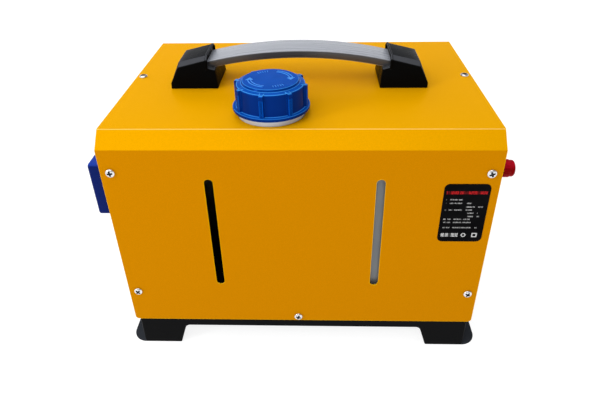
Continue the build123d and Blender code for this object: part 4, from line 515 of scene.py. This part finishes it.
def turned(profile, centre, axis, count, radius_at=None):
    """A shape turned round an axis. Profile points are (radius, height along the axis)."""
    side, up, along = AXES[axis]
    centre = Vector(centre)
    vertices, faces, rings = [], [], []
    for radius, height in profile:
        if radius < 1e-9:  # on the axis
            ring = [len(vertices)]
            vertices.append(centre + along * height)
        else:
            ring = []
            for step in range(count):
                turn = TAU * step / count
                reach = radius_at(radius, height, turn) if radius_at else radius
                arm = side * math.cos(turn) + up * math.sin(turn)
                ring.append(len(vertices))
                vertices.append(centre + along * height + arm * reach)
        rings.append(ring)
    for first, second in zip(rings, rings[1:]):
        if len(first) == 1 and len(second) == 1:
            continue
        for step in range(count):
            after = (step + 1) % count
            if len(first) == 1:
                faces.append((first[0], second[step], second[after]))
            elif len(second) == 1:
                faces.append((first[step], second[0], first[after]))
            else:
                faces.append((first[step], second[step], second[after], first[after]))
    return vertices, faces


def merge(shapes):
    """Several shapes as one."""
    vertices, faces = [], []
    for more_vertices, more_faces in shapes:
        offset = len(vertices)
        vertices.extend(more_vertices)
        faces.extend(tuple(index + offset for index in face) for face in more_faces)
    return vertices, faces


def bridge(rings, cap_ends=True):
    """A skin over rings of equally many points, closed at both ends or not."""
    vertices = [Vector(point) for ring in rings for point in ring]
    count = len(rings[0])
    faces = []
    for row in range(len(rings) - 1):
        a, b = row * count, (row + 1) * count
        for step in range(count):
            after = (step + 1) % count
            faces.append((a + step, a + after, b + after, b + step))
    if cap_ends:
        faces.append(tuple(range(count))[::-1])
        faces.append(tuple((len(rings) - 1) * count + step for step in range(count)))
    return vertices, faces


# ---------------- handle
def make_handle_bar():
    """The bar: a flat arch with rounded edges."""
    low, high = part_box("handle_bar")
    radius, thickness, edge = 446.6 * MM, 8.6 * MM, 1.7 * MM
    centre_x, centre_y, _ = middle_of(low, high)
    half_width = (high.y - low.y) / 2
    swing = math.asin((high.x - low.x) / 2 / radius)
    section = rounded_rectangle((-half_width, -thickness), (half_width, 0), edge, steps=6)
    half_rows = 48
    rings = []
    for row in range(2 * half_rows + 1):
        turn = swing * (row / half_rows - 1)
        ring = []
        for y, depth in section:
            reach = radius + depth
            rise = reach * math.cos(turn)
            ring.append((centre_x + reach * math.sin(turn), centre_y + y, high.z - radius + rise))
        rings.append(ring)
    bar = piece_from("carrying_bar", bridge(rings), "handle_grey")
    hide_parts("handle_bar")


FOOT_SHOULDER = 27.3 * MM
FOOT_OUTLINE = (  # distance from the foot's outer end, height, and whether the chamfers lower the point
    (0.0, 0.0, 0),
    (0.0, 6.0 * MM, 0),
    (9.1 * MM, FOOT_SHOULDER, 1),
    (40.5 * MM, 34.9 * MM, 1),
    (40.5 * MM, 23.0 * MM, 0),
    (50.1 * MM, 20.6 * MM, 0),
)
FOOT_CHAMFER_WIDTH, FOOT_CHAMFER_DROP = 7.5 * MM, 4.0 * MM
FOOT_FLARE = 3.0 * MM  # how much wider each side is at the bottom than at the shoulder
FOOT_EDGE = 0.9 * MM


def make_handle_end(node, name, side):
    """A handle foot: sloped and chamfered, with a mouth that the bar enters. Side is -1 left, 1 right."""
    low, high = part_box(node)
    outer = low.x if side < 0 else high.x
    inner = high.x if side < 0 else low.x
    _, centre_y, _ = middle_of(low, high)
    half = (high.y - low.y) / 2 - FOOT_FLARE
    outline = [*FOOT_OUTLINE, (abs(outer - inner), 0.0, 0)]
    rings = []
    for y, drop, hand in (
        (-half, FOOT_CHAMFER_DROP, -1),
        (-half + FOOT_CHAMFER_WIDTH, 0.0, 0),
        (half - FOOT_CHAMFER_WIDTH, 0.0, 0),
        (half, FOOT_CHAMFER_DROP, 1),
    ):
        ring = []
        for x, z, lowered in outline:
            level = z - drop * lowered
            flare = hand * FOOT_FLARE * (1 - level / FOOT_SHOULDER)
            ring.append((outer - side * x, centre_y + y + flare, low.z + level))
        rings.append(ring)
    end = piece_from(name, bridge(rings), "handle_black")
    soften(end, FOOT_EDGE, segments=3, angle=12)
    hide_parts(node)


LIP_PATH = ((-27.4, 20.5), (-27.3, 30.4), (-19.6, 34.6), (19.6, 34.6), (27.3, 30.4), (27.4, 20.5))  # mm
LIP_RADII = (2.0, 4.0, 4.0, 2.0)  # mm
LIP_FROM_END = 40.9 * MM
LIP_HALF_LENGTH = 1.5 * MM
LIP_HALF_THICKNESS = 1.15  # mm


def make_handle_lip(node, name, side):
    """The rounded lip around the mouth that the bar enters."""
    low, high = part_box(node)
    outer = low.x if side < 0 else high.x
    mouth = outer - side * LIP_FROM_END
    _, centre_y, _ = middle_of(low, high)
    path = rounded(LIP_PATH, LIP_RADII)
    rings = []
    for index, (y, z) in enumerate(path):
        before = path[max(0, index - 1)]
        after = path[min(len(path) - 1, index + 1)]
        along = Vector((after[0] - before[0], after[1] - before[1])).normalized()
        normal = Vector((-along.y, along.x))
        ring = []
        for cosine, sine in circle(12):
            off = LIP_HALF_THICKNESS * cosine
            place = (centre_y + (y + normal.x * off) * MM, low.z + (z + normal.y * off) * MM)
            ring.append((mouth + LIP_HALF_LENGTH * sine, *place))
        rings.append(ring)
    piece_from(name, bridge(rings), "handle_black")


# ---------------- fuel cap
CAP_TOP, CAP_SHOULDER, CAP_FLANGE_TOP = 28.8 * MM, 25.8 * MM, 3.2 * MM  # heights
CAP_SIDE, CAP_RIB, CAP_FLANGE, CAP_DISC = 34.6 * MM, 37.2 * MM, 38.9 * MM, 28.4 * MM  # radii
CAP_BORE, CAP_BORE_TOP = 30.5 * MM, 21.4 * MM
CAP_PROFILE = (
    (0, CAP_TOP),
    (CAP_DISC - 0.6 * MM, CAP_TOP),
    (CAP_DISC + 0.6 * MM, CAP_SHOULDER + 0.7 * MM),
    (CAP_SIDE - 0.3 * MM, CAP_SHOULDER - 0.6 * MM),
    (CAP_SIDE, CAP_FLANGE_TOP + 0.4 * MM),
    (CAP_FLANGE, CAP_FLANGE_TOP),
    (CAP_FLANGE, 0),
    (CAP_BORE, 0),
    (CAP_BORE, CAP_BORE_TOP),
    (0, CAP_BORE_TOP),
)
CAP_ROUNDINGS = (1.1 * MM, 1.2 * MM, 1.8 * MM, 1.4 * MM, 0.9 * MM, 0.6 * MM, 0.4 * MM, 1.0 * MM)
CAP_RIB_PITCH = TAU / 8
CAP_FIRST_RIB = math.radians(34.5)
CAP_RIB_HALF_ANGLE = 2.75 * MM / CAP_SIDE
CAP_RIB_BLEND = 1.0 * MM / CAP_SIDE
CAP_RIB_TAPER = 1.6 * MM  # the height at its top over which a rib runs out


def cap_radius(radius, height, turn):
    """The cap's radius with its ribs, which run from the flange to the shoulder and run out there."""
    on_side = CAP_DISC + 2.0 * MM <= radius <= CAP_RIB and height >= 0.5 * MM
    if not on_side:
        return radius
    off = abs((turn - CAP_FIRST_RIB + CAP_RIB_PITCH / 2) % CAP_RIB_PITCH - CAP_RIB_PITCH / 2)
    rise = 1 - clamped((off - CAP_RIB_HALF_ANGLE + CAP_RIB_BLEND) / CAP_RIB_BLEND)
    rise = rise * rise * (3 - 2 * rise)
    near_top = clamped((CAP_SHOULDER + 0.2 * MM - height) / CAP_RIB_TAPER)
    reach = CAP_SIDE + (CAP_RIB - CAP_SIDE) * math.sqrt(near_top)
    target = max(radius, reach) if height < CAP_SHOULDER else radius
    return radius + (target - radius) * rise


MARK_CIRCLE = 20.5 * MM
MARK_LIFT = 0.45 * MM
MARK_SINK = 0.05 * MM  # how deep a mark's foot lies in the disc
ARROW_STARTS = (255, 75)  # degrees, as are the span, tip and wings
ARROW_LINES = ((-1.9 * MM, -1.0 * MM), (1.0 * MM, 1.9 * MM))  # inner and outer edge of each line
ARROW_LINE_SLOPE = 0.1 * MM  # how much narrower a line is on top, on each side
ARROW_SPAN, ARROW_TIP, ARROW_WINGS = 66, 84, 67
ARROW_HALF_HEAD = 4.0 * MM
ARROW_HEAD_TOP = 0.94  # size of its top, as a share of its foot's
DASH_TOP = 0.8  # width of its top, as a share of its foot's
ARROW_STEPS = 28
DASH_ROWS = (118, 298)  # degrees
DASH_OFFSETS = (-16, -9, -2, 5, 12)
DASH_OUTLINE = ((-1.7, -0.35), (1.7, -0.35), (1.7, 0.35), (-1.7, 0.35))  # mm


def make_cap_marks(foot):
    """Two curved arrows and two rows of plain dashes, raised on the cap's disc around foot, in a lighter blue
    that paints their highlight.
    """

    def ray(turn):
        return Vector((math.cos(turn), math.sin(turn), 0))

    rise = Vector((0, 0, MARK_LIFT))
    marks = []
    for start in ARROW_STARTS:
        for near, far in ARROW_LINES:
            inner, outer = MARK_CIRCLE + near, MARK_CIRCLE + far
            rings = []
            for step in range(ARROW_STEPS + 1):
                out = ray(math.radians(start - ARROW_SPAN * step / ARROW_STEPS))
                rings.append([
                    foot + out * inner,
                    foot + out * outer,
                    foot + out * (outer - ARROW_LINE_SLOPE) + rise,
                    foot + out * (inner + ARROW_LINE_SLOPE) + rise,
                ])
            marks.append(bridge(rings))
        tip = ray(math.radians(start - ARROW_TIP))
        wings = ray(math.radians(start - ARROW_WINGS))
        head = [
            foot + tip * MARK_CIRCLE,
            foot + wings * (MARK_CIRCLE - ARROW_HALF_HEAD),
            foot + wings * (MARK_CIRCLE + ARROW_HALF_HEAD),
        ]
        centroid = sum(head, Vector()) / 3
        top = [centroid + (point - centroid) * ARROW_HEAD_TOP + rise for point in head]
        marks.append(bridge([head, top]))
    for middle_turn in DASH_ROWS:
        for offset in DASH_OFFSETS:
            out = ray(math.radians(middle_turn + offset))
            side = Vector((-out.y, out.x, 0))
            rings = []
            for level, share in ((Vector(), 1.0), (rise, DASH_TOP)):
                rings.append([
                    foot + out * (MARK_CIRCLE + a * MM) + side * (b * MM * share) + level
                    for a, b in DASH_OUTLINE
                ])
            marks.append(bridge(rings))
    piece_from("filler_cap_arrows", merge(marks), CAP_MARK_HIGHLIGHT, "fuel_cap")


def make_fuel_cap():
    """The ribbed screw cap with a raised disc and its marks."""
    low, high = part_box("fuel_cap")
    x, y, _ = middle_of(low, high)
    profile = subdivided(rounded(CAP_PROFILE, CAP_ROUNDINGS), step_length=2.5 * MM)
    shape = turned(profile, (x, y, low.z), "Z", count=480, radius_at=cap_radius)
    cap = piece_from("filler_cap", shape, "cap_blue", "fuel_cap", smooth_angle=50)
    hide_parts("fuel_cap")
    make_cap_marks(Vector((x, y, low.z + CAP_TOP - MARK_SINK)))


# ---------------- screws
HEAD_RADIUS, HEAD_HEIGHT = 4.7 * MM, 2.8 * MM
HEAD_RIM = 0.32 * HEAD_HEIGHT
HEAD_ROUNDNESS = 2.6  # the power of its dome's curve, where 2 is a circle's
CROSS_HALF_WIDTH, CROSS_REACH, CROSS_DEPTH = 0.62 * MM, 2.5 * MM, 1.5 * MM
CROSS_SIDE_BLEND, CROSS_END_BLEND = 0.35 * MM, 0.5 * MM
CROSS_TAPER = 0.35  # how much shallower the cross is at its reach


def head_level(a, b, reach):
    """The height of a screw head above its seat, at (a, b) and so at reach from its middle."""
    fall = (reach / HEAD_RADIUS) ** HEAD_ROUNDNESS
    dome = HEAD_RIM + (HEAD_HEIGHT - HEAD_RIM) * math.sqrt(max(0.0, 1 - fall))
    beside_a = clamped((abs(b) - CROSS_HALF_WIDTH) / CROSS_SIDE_BLEND)
    beside_b = clamped((abs(a) - CROSS_HALF_WIDTH) / CROSS_SIDE_BLEND)
    past_end = clamped((reach - CROSS_REACH) / CROSS_END_BLEND)
    open_share = (1 - min(beside_a, beside_b)) * (1 - past_end)
    return dome - CROSS_DEPTH * open_share * (1 - CROSS_TAPER * reach / CROSS_REACH)


def screw_head(seat, outward, spin):
    """A pan head with a cross recess, on a seat point."""
    seat = Vector(seat)
    outward = Vector(outward).normalized()
    side = Matrix.Rotation(spin, 3, outward) @ outward.orthogonal().normalized()
    up = outward.cross(side)
    rings, count = 30, 72
    vertices = [seat + outward * (HEAD_HEIGHT - CROSS_DEPTH)]
    for ring in range(1, rings + 1):
        reach = HEAD_RADIUS * ring / rings
        for cosine, sine in circle(count):
            a, b = reach * cosine, reach * sine
            vertices.append(seat + side * a + up * b + outward * head_level(a, b, reach))
    foot = len(vertices)
    for cosine, sine in circle(count):
        vertices.append(seat + (side * cosine + up * sine) * HEAD_RADIUS)
    faces = [(0, 1 + step, 1 + (step + 1) % count) for step in range(count)]
    for first in range(1, foot, count):
        second = first + count
        for step in range(count):
            after = (step + 1) % count
            faces.append((first + step, second + step, second + after, first + after))
    faces.append(tuple(foot + step for step in range(count))[::-1])
    return vertices, faces


SIDE_SCREW_INSET = 10.5 * MM
SIDE_SCREW_LEVELS = (84 * MM, 240 * MM)
LOW_SCREW_X = -4 * MM
LOW_SCREW_RISE = 6.5 * MM  # above the cover's lower edge
PANEL_INSET = 2.6 * MM
PANEL_SCREW_Y = 121 * MM
TOP_SCREW_INSET, TOP_SCREW_Y = 8.2 * MM, 4.6 * MM
SCREW_SPIN = 0.9  # how much further each screw is turned than the one before it, in radians


def screw_seats():
    """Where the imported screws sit, and the direction that each looks in."""
    low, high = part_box("wrap_cover")
    half_x, half_y = high.x, high.y
    low_z = low.z + LOW_SCREW_RISE
    seats = []
    for side in (-1, 1):
        for x in (-half_x + SIDE_SCREW_INSET, half_x - SIDE_SCREW_INSET):
            for z in SIDE_SCREW_LEVELS:
                seats.append(((x, side * half_y, z), (0, side, 0)))
        seats.append(((LOW_SCREW_X, side * half_y, low_z), (0, side, 0)))
        for y in (-PANEL_SCREW_Y, PANEL_SCREW_Y):
            seats.append(((side * (half_x - PANEL_INSET), y, low_z), (side, 0, 0)))
        seats.append(((side * (half_x - TOP_SCREW_INSET), TOP_SCREW_Y, high.z), (0, 0, 1)))
    return seats


RECESS_REACH, RECESS_FLOOR, RECESS_TOP = 3.0 * MM, 0.5 * MM, 2.2 * MM
RECESS_COSINE = 0.72  # of the lean from which a face counts as a wall of the cross


def paint_recess_shade(screw, seat, outward):
    """Give the faces inside a screw head's cross a darker material: painted shade in the recess."""
    screw.data.materials.append(RECESS_SHADE)
    for face in screw.data.polygons:
        arm = face.center - seat
        height = arm.dot(outward)
        off_axis = (arm - outward * height).length
        sunk = face.normal.dot(outward) < RECESS_COSINE or height < RECESS_TOP
        if sunk and off_axis < RECESS_REACH and height > RECESS_FLOOR:
            face.material_index = 1


def make_screws():
    """One piece for each screw of the case. They stand together for one CAD node."""
    for index, (seat, outward) in enumerate(screw_seats()):
        head = screw_head(seat, outward, SCREW_SPIN * index)
        screw = piece_from(f"screw_{index + 1:02d}", head, "screw_zinc", smooth_angle=30)
        paint_recess_shade(screw, Vector(seat), Vector(outward))
        if index == 0:
            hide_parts("cover_screws")


# ---------------- rating plate
def make_rating_plate():
    """The sticker, with its printed rows."""
    low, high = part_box("rating_plate")
    outline = rounded_rectangle((low.x, low.z), (high.x, high.z), radius=5.5 * MM, steps=8)
    rings = [[(x, y, z) for x, z in outline] for y in (high.y, low.y)]
    plate = piece_from("sticker", bridge(rings), "plate_black")
    plate.data.materials[0] = plate_print(low.x, low.z, high.x - low.x, high.z - low.z)
    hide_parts("rating_plate")


# ---------------- terminals
KNOB_GRIP, KNOB_HEAD, KNOB_BORE = 9.2 * MM, 8.5 * MM, 3.08 * MM  # radii
KNOB_GRIP_LENGTH = 10.8 * MM
KNOB_ROUNDINGS = (0.5 * MM, 0.8 * MM, 0.3 * MM, 2.6 * MM)
KNOB_GROOVES, KNOB_GROOVE_DEPTH = 18, 0.45 * MM


def knob_radius(radius, height, turn):
    """The knob's radius, with narrow grooves along its grip."""
    if radius < KNOB_HEAD + 0.3 * MM or not 0.4 * MM < height < KNOB_GRIP_LENGTH - 0.5 * MM:
        return radius
    return radius - KNOB_GROOVE_DEPTH * (0.5 + 0.5 * math.cos(KNOB_GROOVES * turn)) ** 4


def make_terminal_cap(label, slot):
    """A knurled screw cap with a smooth rounded head."""
    low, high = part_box(f"{label}_cap")
    _, y, z = middle_of(low, high)
    length = high.x - low.x
    profile = (
        (KNOB_BORE, 0),
        (KNOB_GRIP, 0),
        (KNOB_GRIP, KNOB_GRIP_LENGTH),
        (KNOB_HEAD, KNOB_GRIP_LENGTH + 0.4 * MM),
        (KNOB_HEAD, length),
        (0, length),
    )
    knob = turned(rounded(profile, KNOB_ROUNDINGS), (low.x, y, z), "X", count=216, radius_at=knob_radius)
    cap = piece_from(f"{label}_knob", knob, slot, f"{label}_cap", smooth_angle=45)
    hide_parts(f"{label}_cap")


# ---------------- controller
# Outlines on the controller's face, which looks along -X, are in mm rightwards and upwards as seen.
SHAPE_TOP, LINE_TOP = 0.96, 0.9  # size and width of their tops, as shares of their feet


def on_face(node):
    """The middle of the front of a node on the controller's face."""
    low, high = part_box(node)
    _, y, z = middle_of(low, high)
    return low.x, y, z


def face_shape(outline, place, depth):
    """A thin raised shape on the face."""
    x, y, z = place
    rings = []
    for level, share in ((0.0, 1.0), (depth, SHAPE_TOP)):
        rings.append([(x - level, y - a * MM * share, z + b * MM * share) for a, b in outline])
    return bridge(rings)


def face_strip(points, width, place, depth, closed=False):
    """A thin raised line on the face."""
    x, y, z = place
    last = len(points) - 1
    rings = []
    for index, (a, b) in enumerate(points):
        before = points[index - 1] if index or closed else points[index]
        after = points[(index + 1) % len(points)] if index < last or closed else points[index]
        along = Vector((after[0] - before[0], after[1] - before[1])).normalized()
        normal = Vector((-along.y, along.x)) * width / 2
        ring = []
        for share, level in ((-1, 0.0), (1, 0.0), (LINE_TOP, depth), (-LINE_TOP, depth)):
            ring.append((x - level, y - (a + normal.x * share) * MM, z + (b + normal.y * share) * MM))
        rings.append(ring)
    if closed:
        rings.append(rings[0])
    return bridge(rings, cap_ends=not closed)


def arc_points(radius, start, end, count=28, centre=(0, 0)):
    """Points on an arc, in degrees."""
    turns = [math.radians(start + (end - start) * step / count) for step in range(count + 1)]
    return [(centre[0] + radius * math.cos(turn), centre[1] + radius * math.sin(turn)) for turn in turns]


MARK_DEPTH, MARK_LINE = 0.12 * MM, 0.5  # the line's width is in mm
BUTTON_MARKS = {
    "up_button": [("shape", [(-1.5, -1.1), (1.5, -1.1), (0, 1.5)])],
    "down_button": [("shape", [(1.5, 1.1), (-1.5, 1.1), (0, -1.5)])],
    "set_button": [("ring", arc_points(1.4, 0, 360)[:-1])],
    "power_button": [("line", arc_points(1.6, 125, 415)), ("line", [(0, 0.3), (0, 2.1)])],
}


def make_button_marks():
    """A raised mark on each of the four buttons."""
    for button, marks in BUTTON_MARKS.items():
        place = on_face(button)
        shapes = []
        for kind, points in marks:
            if kind == "shape":
                shapes.append(face_shape(points, place, MARK_DEPTH))
            else:
                shapes.append(face_strip(points, MARK_LINE, place, MARK_DEPTH, closed=kind == "ring"))
        piece_from(f"{button}_mark", merge(shapes), "face_black", button)


SEGMENT_ENDS = {  # mm from a digit's middle
    "a": ((-3.4, 8), (3.4, 8)),
    "b": ((4.2, 7.2), (4.2, 0.8)),
    "c": ((4.2, -0.8), (4.2, -7.2)),
    "d": ((-3.4, -8), (3.4, -8)),
    "e": ((-4.2, -0.8), (-4.2, -7.2)),
    "f": ((-4.2, 7.2), (-4.2, 0.8)),
    "g": ((-3.4, 0), (3.4, 0)),
}
DISPLAY = ((-8.0, "abged"), (5.0, "fgbc"))  # where each digit is, and its lit segments: a 2 and a 4
DIGIT_DEPTH, DIGIT_LINE = 0.08 * MM, 1.5  # the line's width is in mm
DEGREE_AT, DEGREE_RADIUS, DEGREE_LINE = (12.2, 7.2), 1.3, 0.6  # mm


def make_display_digits():
    """A lit number with a degree ring, on the display's window."""
    place = on_face("lcd_window")
    shapes = []
    for middle, segments in DISPLAY:
        for segment in segments:
            ends = [(a + middle, b) for a, b in SEGMENT_ENDS[segment]]
            shapes.append(face_strip(ends, DIGIT_LINE, place, DIGIT_DEPTH))
    ring = arc_points(DEGREE_RADIUS, 0, 360, count=16, centre=DEGREE_AT)[:-1]
    shapes.append(face_strip(ring, DEGREE_LINE, place, DIGIT_DEPTH, closed=True))
    piece_from("display_digits", merge(shapes), DIGITS)


# ---------------- inlet guard and fan
GUARD_OPENING, GUARD_SPIGOT, GUARD_WALL = 46.8 * MM, 51.8 * MM, 1.9 * MM
GUARD_THICKNESS = 3.2 * MM
GUARD_ROUNDINGS = (0.3 * MM, 0.0, 0.0, 1.6 * MM, 0.9 * MM, 0.6 * MM, 0.3 * MM)
GUARD_RINGS = (12.0 * MM, 25.0 * MM, 38.0 * MM)
GUARD_SPOKES = 8
RING_HALF_SIZE = (1.3 * MM, 1.5 * MM)  # of its wire, in the panel's plane and along the axis
SPOKE_HALF_SIZE = (1.3 * MM, 1.45 * MM)


def make_inlet_guard():
    """The round guard: a rounded flange on the panel, wire-like rings and spokes, and the spigot behind."""
    low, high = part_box("inlet_guard")
    _, centre_y, centre_z = middle_of(low, high)
    centre = (0, centre_y, centre_z)
    outer = (high.y - low.y) / 2
    face, front = high.x - GUARD_THICKNESS, high.x
    middle = (face + front) / 2
    spigot_bore = GUARD_SPIGOT - GUARD_WALL
    flange = (
        (spigot_bore, low.x),
        (GUARD_SPIGOT, low.x),
        (GUARD_SPIGOT, face),
        (outer, face),
        (outer, front),
        (GUARD_OPENING, front),
        (GUARD_OPENING, face),
        (spigot_bore, face),
        (spigot_bore, low.x),
    )
    shapes = [turned(rounded(flange, GUARD_ROUNDINGS, steps=5), centre, "X", count=128)]
    half_across, half_along = RING_HALF_SIZE
    for radius in GUARD_RINGS:
        wire = [(radius + half_across * cosine, middle + half_along * sine) for cosine, sine in circle(12)]
        shapes.append(turned([*wire, wire[0]], centre, "X", count=96))
    half_across, half_along = SPOKE_HALF_SIZE
    for spoke in range(GUARD_SPOKES):
        turn = TAU * spoke / GUARD_SPOKES
        along = Vector((0, math.cos(turn), math.sin(turn)))
        across = Vector((0, -along.z, along.y))
        rings = []
        for reach in (0.0, GUARD_OPENING + 0.6 * MM):
            foot = Vector((middle, centre_y, centre_z)) + along * reach
            rings.append([
                foot + across * (half_across * cosine) + Vector((half_along * sine, 0, 0))
                for cosine, sine in circle(12)
            ])
        shapes.append(bridge(rings))
    guard = piece_from("round_guard", merge(shapes), "shell_black")
    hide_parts("inlet_guard")


FAN_BORE, FAN_HUB, FAN_TIP = 4.0 * MM, 13.0 * MM, 49.6 * MM
FAN_HUB_ROUNDINGS = (0.5 * MM, 3.0 * MM, 0.3 * MM)
BLADES = 9
BLADE_ROOT = 12.0 * MM  # inside the hub
BLADE_HALF_CHORD = 12.0 * MM
BLADE_CAMBER, BLADE_HALF_THICKNESS = 1.6 * MM, 0.9 * MM
BLADE_PITCH, BLADE_TWIST = 52, 20  # degrees at the root, and how much less at the tip
BLADE_THINNING = 0.75  # how much thinner a blade is at its front and back edges
BLADE_WRAP, BLADE_WRAP_GAIN = 0.72, 0.28  # how much of the chord shows at the root, and more at the tip
BLADE_CLEARANCE = 0.3 * MM  # from the hub's ends
BLADE_ROWS, BLADE_HALF_STEPS = 8, 3


def make_air_fan():
    """The axial fan, with a domed hub and twisted, curved blades."""
    low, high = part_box("air_fan")
    middle, y, z = middle_of(low, high)
    hub = (
        (FAN_BORE, low.x),
        (FAN_HUB, low.x),
        (FAN_HUB, high.x),
        (FAN_BORE, high.x),
        (FAN_BORE, low.x),
    )
    shapes = [turned(rounded(hub, FAN_HUB_ROUNDINGS), (0, y, z), "X", count=96)]
    for blade in range(BLADES):
        start = TAU * blade / BLADES
        sections = []
        for row in range(BLADE_ROWS + 1):
            share = row / BLADE_ROWS
            reach = BLADE_ROOT + (FAN_TIP - BLADE_ROOT) * share
            pitch = math.radians(BLADE_PITCH - BLADE_TWIST * share)
            section = []
            for side in (1, -1):
                for step in range(2 * BLADE_HALF_STEPS + 1):
                    place = (step / BLADE_HALF_STEPS - 1) * side
                    camber = BLADE_CAMBER * (1 - place * place)
                    thickness = BLADE_HALF_THICKNESS * (1 - BLADE_THINNING * abs(place) ** 3) * side
                    along, off = place * BLADE_HALF_CHORD, camber + thickness
                    x = middle + (along * math.cos(pitch) - off * math.sin(pitch))
                    x = max(low.x + BLADE_CLEARANCE, min(high.x - BLADE_CLEARANCE, x))
                    swing = along * math.sin(pitch) + off * math.cos(pitch)
                    turn = start + swing / reach * (BLADE_WRAP + BLADE_WRAP_GAIN * share)
                    section.append((x, y + reach * math.cos(turn), z + reach * math.sin(turn)))
            sections.append(section)
        shapes.append(bridge(sections))
    fan = piece_from("hot_air_fan", merge(shapes), "fan_black", "rotor")
    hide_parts("air_fan")


# ---------------- studio
WIDTH_PX, HEIGHT_PX = 600, 400
FOCAL_PX = 537.23
CENTRE_PX = (301.63, 184.66)
CAMERA_PLACE = (0.01878, -0.59098, 0.50881)
CAMERA_TURN, CAMERA_TILT, CAMERA_ROLL = 2.117, -32.403, 1.013  # degrees
LIGHTS = (  # name, place, aim, size, power, and whether gloss mirrors it
    ("overhead", (-0.4, -0.15, 1.9), (0, 0, 0.2), (2.6, 2.2), 20, True),
    ("back", (-0.3, 1.9, 1.4), (0, 0, 0.25), (2.6, 1.0), 21, False),
    ("front", (-0.35, -1.5, 1.9), (0, 0, 0.2), (1.8, 0.9), 7, True),
    ("window", (-1.3, -0.9, 0.9), (0, 0, 0.25), (0.3, 0.9), 7.5, True),
)
WHITE = (1, 1, 1, 1)
FLOOR_HALF = 60.0
FLOOR_DROP = 0.0002
FLOOR_GLOW = 0.86
FLOOR_DARK, FLOOR_LIGHT = (0.3, 0.3, 0.3), (0.32, 0.32, 0.32)
SKY_LOW, SKY_HIGH = 1.0, 0.28  # strength at the horizon and above
SKY_TURN = (0.04, 0.4)  # the part of the way up in which it turns from one to the other


def make_camera():
    """The photograph's viewpoint."""
    camera = bpy.data.cameras.new("camera")
    camera.sensor_width = 36
    camera.lens = FOCAL_PX / WIDTH_PX * camera.sensor_width
    camera.shift_x = -(CENTRE_PX[0] - WIDTH_PX / 2) / WIDTH_PX
    camera.shift_y = (CENTRE_PX[1] - HEIGHT_PX / 2) / WIDTH_PX
    camera.clip_start = 0.01
    aim = Matrix.Rotation(math.radians(CAMERA_TURN), 3, "Z")
    aim = aim @ Matrix.Rotation(math.radians(CAMERA_TILT), 3, "X")
    aim = aim @ Matrix.Rotation(math.radians(CAMERA_ROLL), 3, "Y")
    aim = aim @ Matrix.Rotation(math.pi / 2, 3, "X")
    holder = add_object("camera", camera)
    holder.matrix_world = Matrix.Translation(CAMERA_PLACE) @ aim.to_4x4()
    bpy.context.scene.camera = holder


def area_light(name, place, aim_at, size, power, mirrored):
    """A soft rectangular light, which gloss mirrors or not."""
    light = bpy.data.lights.new(name, "AREA")
    light.shape = "RECTANGLE"
    light.size, light.size_y = size
    light.energy = power
    holder = add_object(name, light)
    holder.location = place
    holder.rotation_euler = (Vector(aim_at) - Vector(place)).to_track_quat("-Z", "Y").to_euler()
    holder.visible_glossy = mirrored


def make_floor():
    """A pale floor, just under the part's feet."""
    mesh = bpy.data.meshes.new("floor")
    corners = [(x * FLOOR_HALF, y * FLOOR_HALF, 0) for x, y in ((-1, -1), (1, -1), (1, 1), (-1, 1))]
    mesh.from_pydata(corners, [], [(0, 1, 2, 3)])
    floor = add_object("floor", mesh)
    floor.location.z = -FLOOR_DROP
    material, tree, shader = principled("floor")
    shade = mix_colour(tree, spread(tree, noise_node(tree, 3), 0.0, 1.0), FLOOR_DARK, FLOOR_LIGHT)
    tree.links.new(shade, shader.inputs["Base Color"])
    set_inputs(shader, Roughness=0.7, Specular_IOR_Level=0.1)
    set_inputs(shader, Emission_Color=WHITE, Emission_Strength=FLOOR_GLOW)
    mesh.materials.append(material)


def make_sky():
    """A white surrounding that is brightest at the horizon."""
    world = bpy.data.worlds.new("studio")
    bpy.context.scene.world = world
    world.use_nodes = True
    tree = world.node_tree
    background = tree.nodes["Background"]
    set_inputs(background, Color=WHITE)
    height = split_vector(tree, "ShaderNodeTexCoord", "Generated")["Z"]
    tree.links.new(spread(tree, height, SKY_LOW, SKY_HIGH, *SKY_TURN), background.inputs["Strength"])


def make_studio():
    """Camera, floor, sky and lights."""
    make_camera()
    make_floor()
    make_sky()
    for light in LIGHTS:
        area_light(*light)
    bpy.context.scene.view_settings.view_transform = "Standard"
    bpy.context.scene.view_settings.look = "None"


dress_cad_nodes()
make_handle_bar()
make_handle_end("handle_end_left", "handle_foot_left", -1)
make_handle_end("handle_end_right", "handle_foot_right", 1)
make_handle_lip("handle_end_left", "handle_lip_left", -1)
make_handle_lip("handle_end_right", "handle_lip_right", 1)
make_fuel_cap()
make_screws()
make_rating_plate()
make_terminal_cap("positive", "terminal_red")
make_terminal_cap("negative", "terminal_black")
make_button_marks()
make_display_digits()
make_inlet_guard()
make_air_fan()
make_studio()
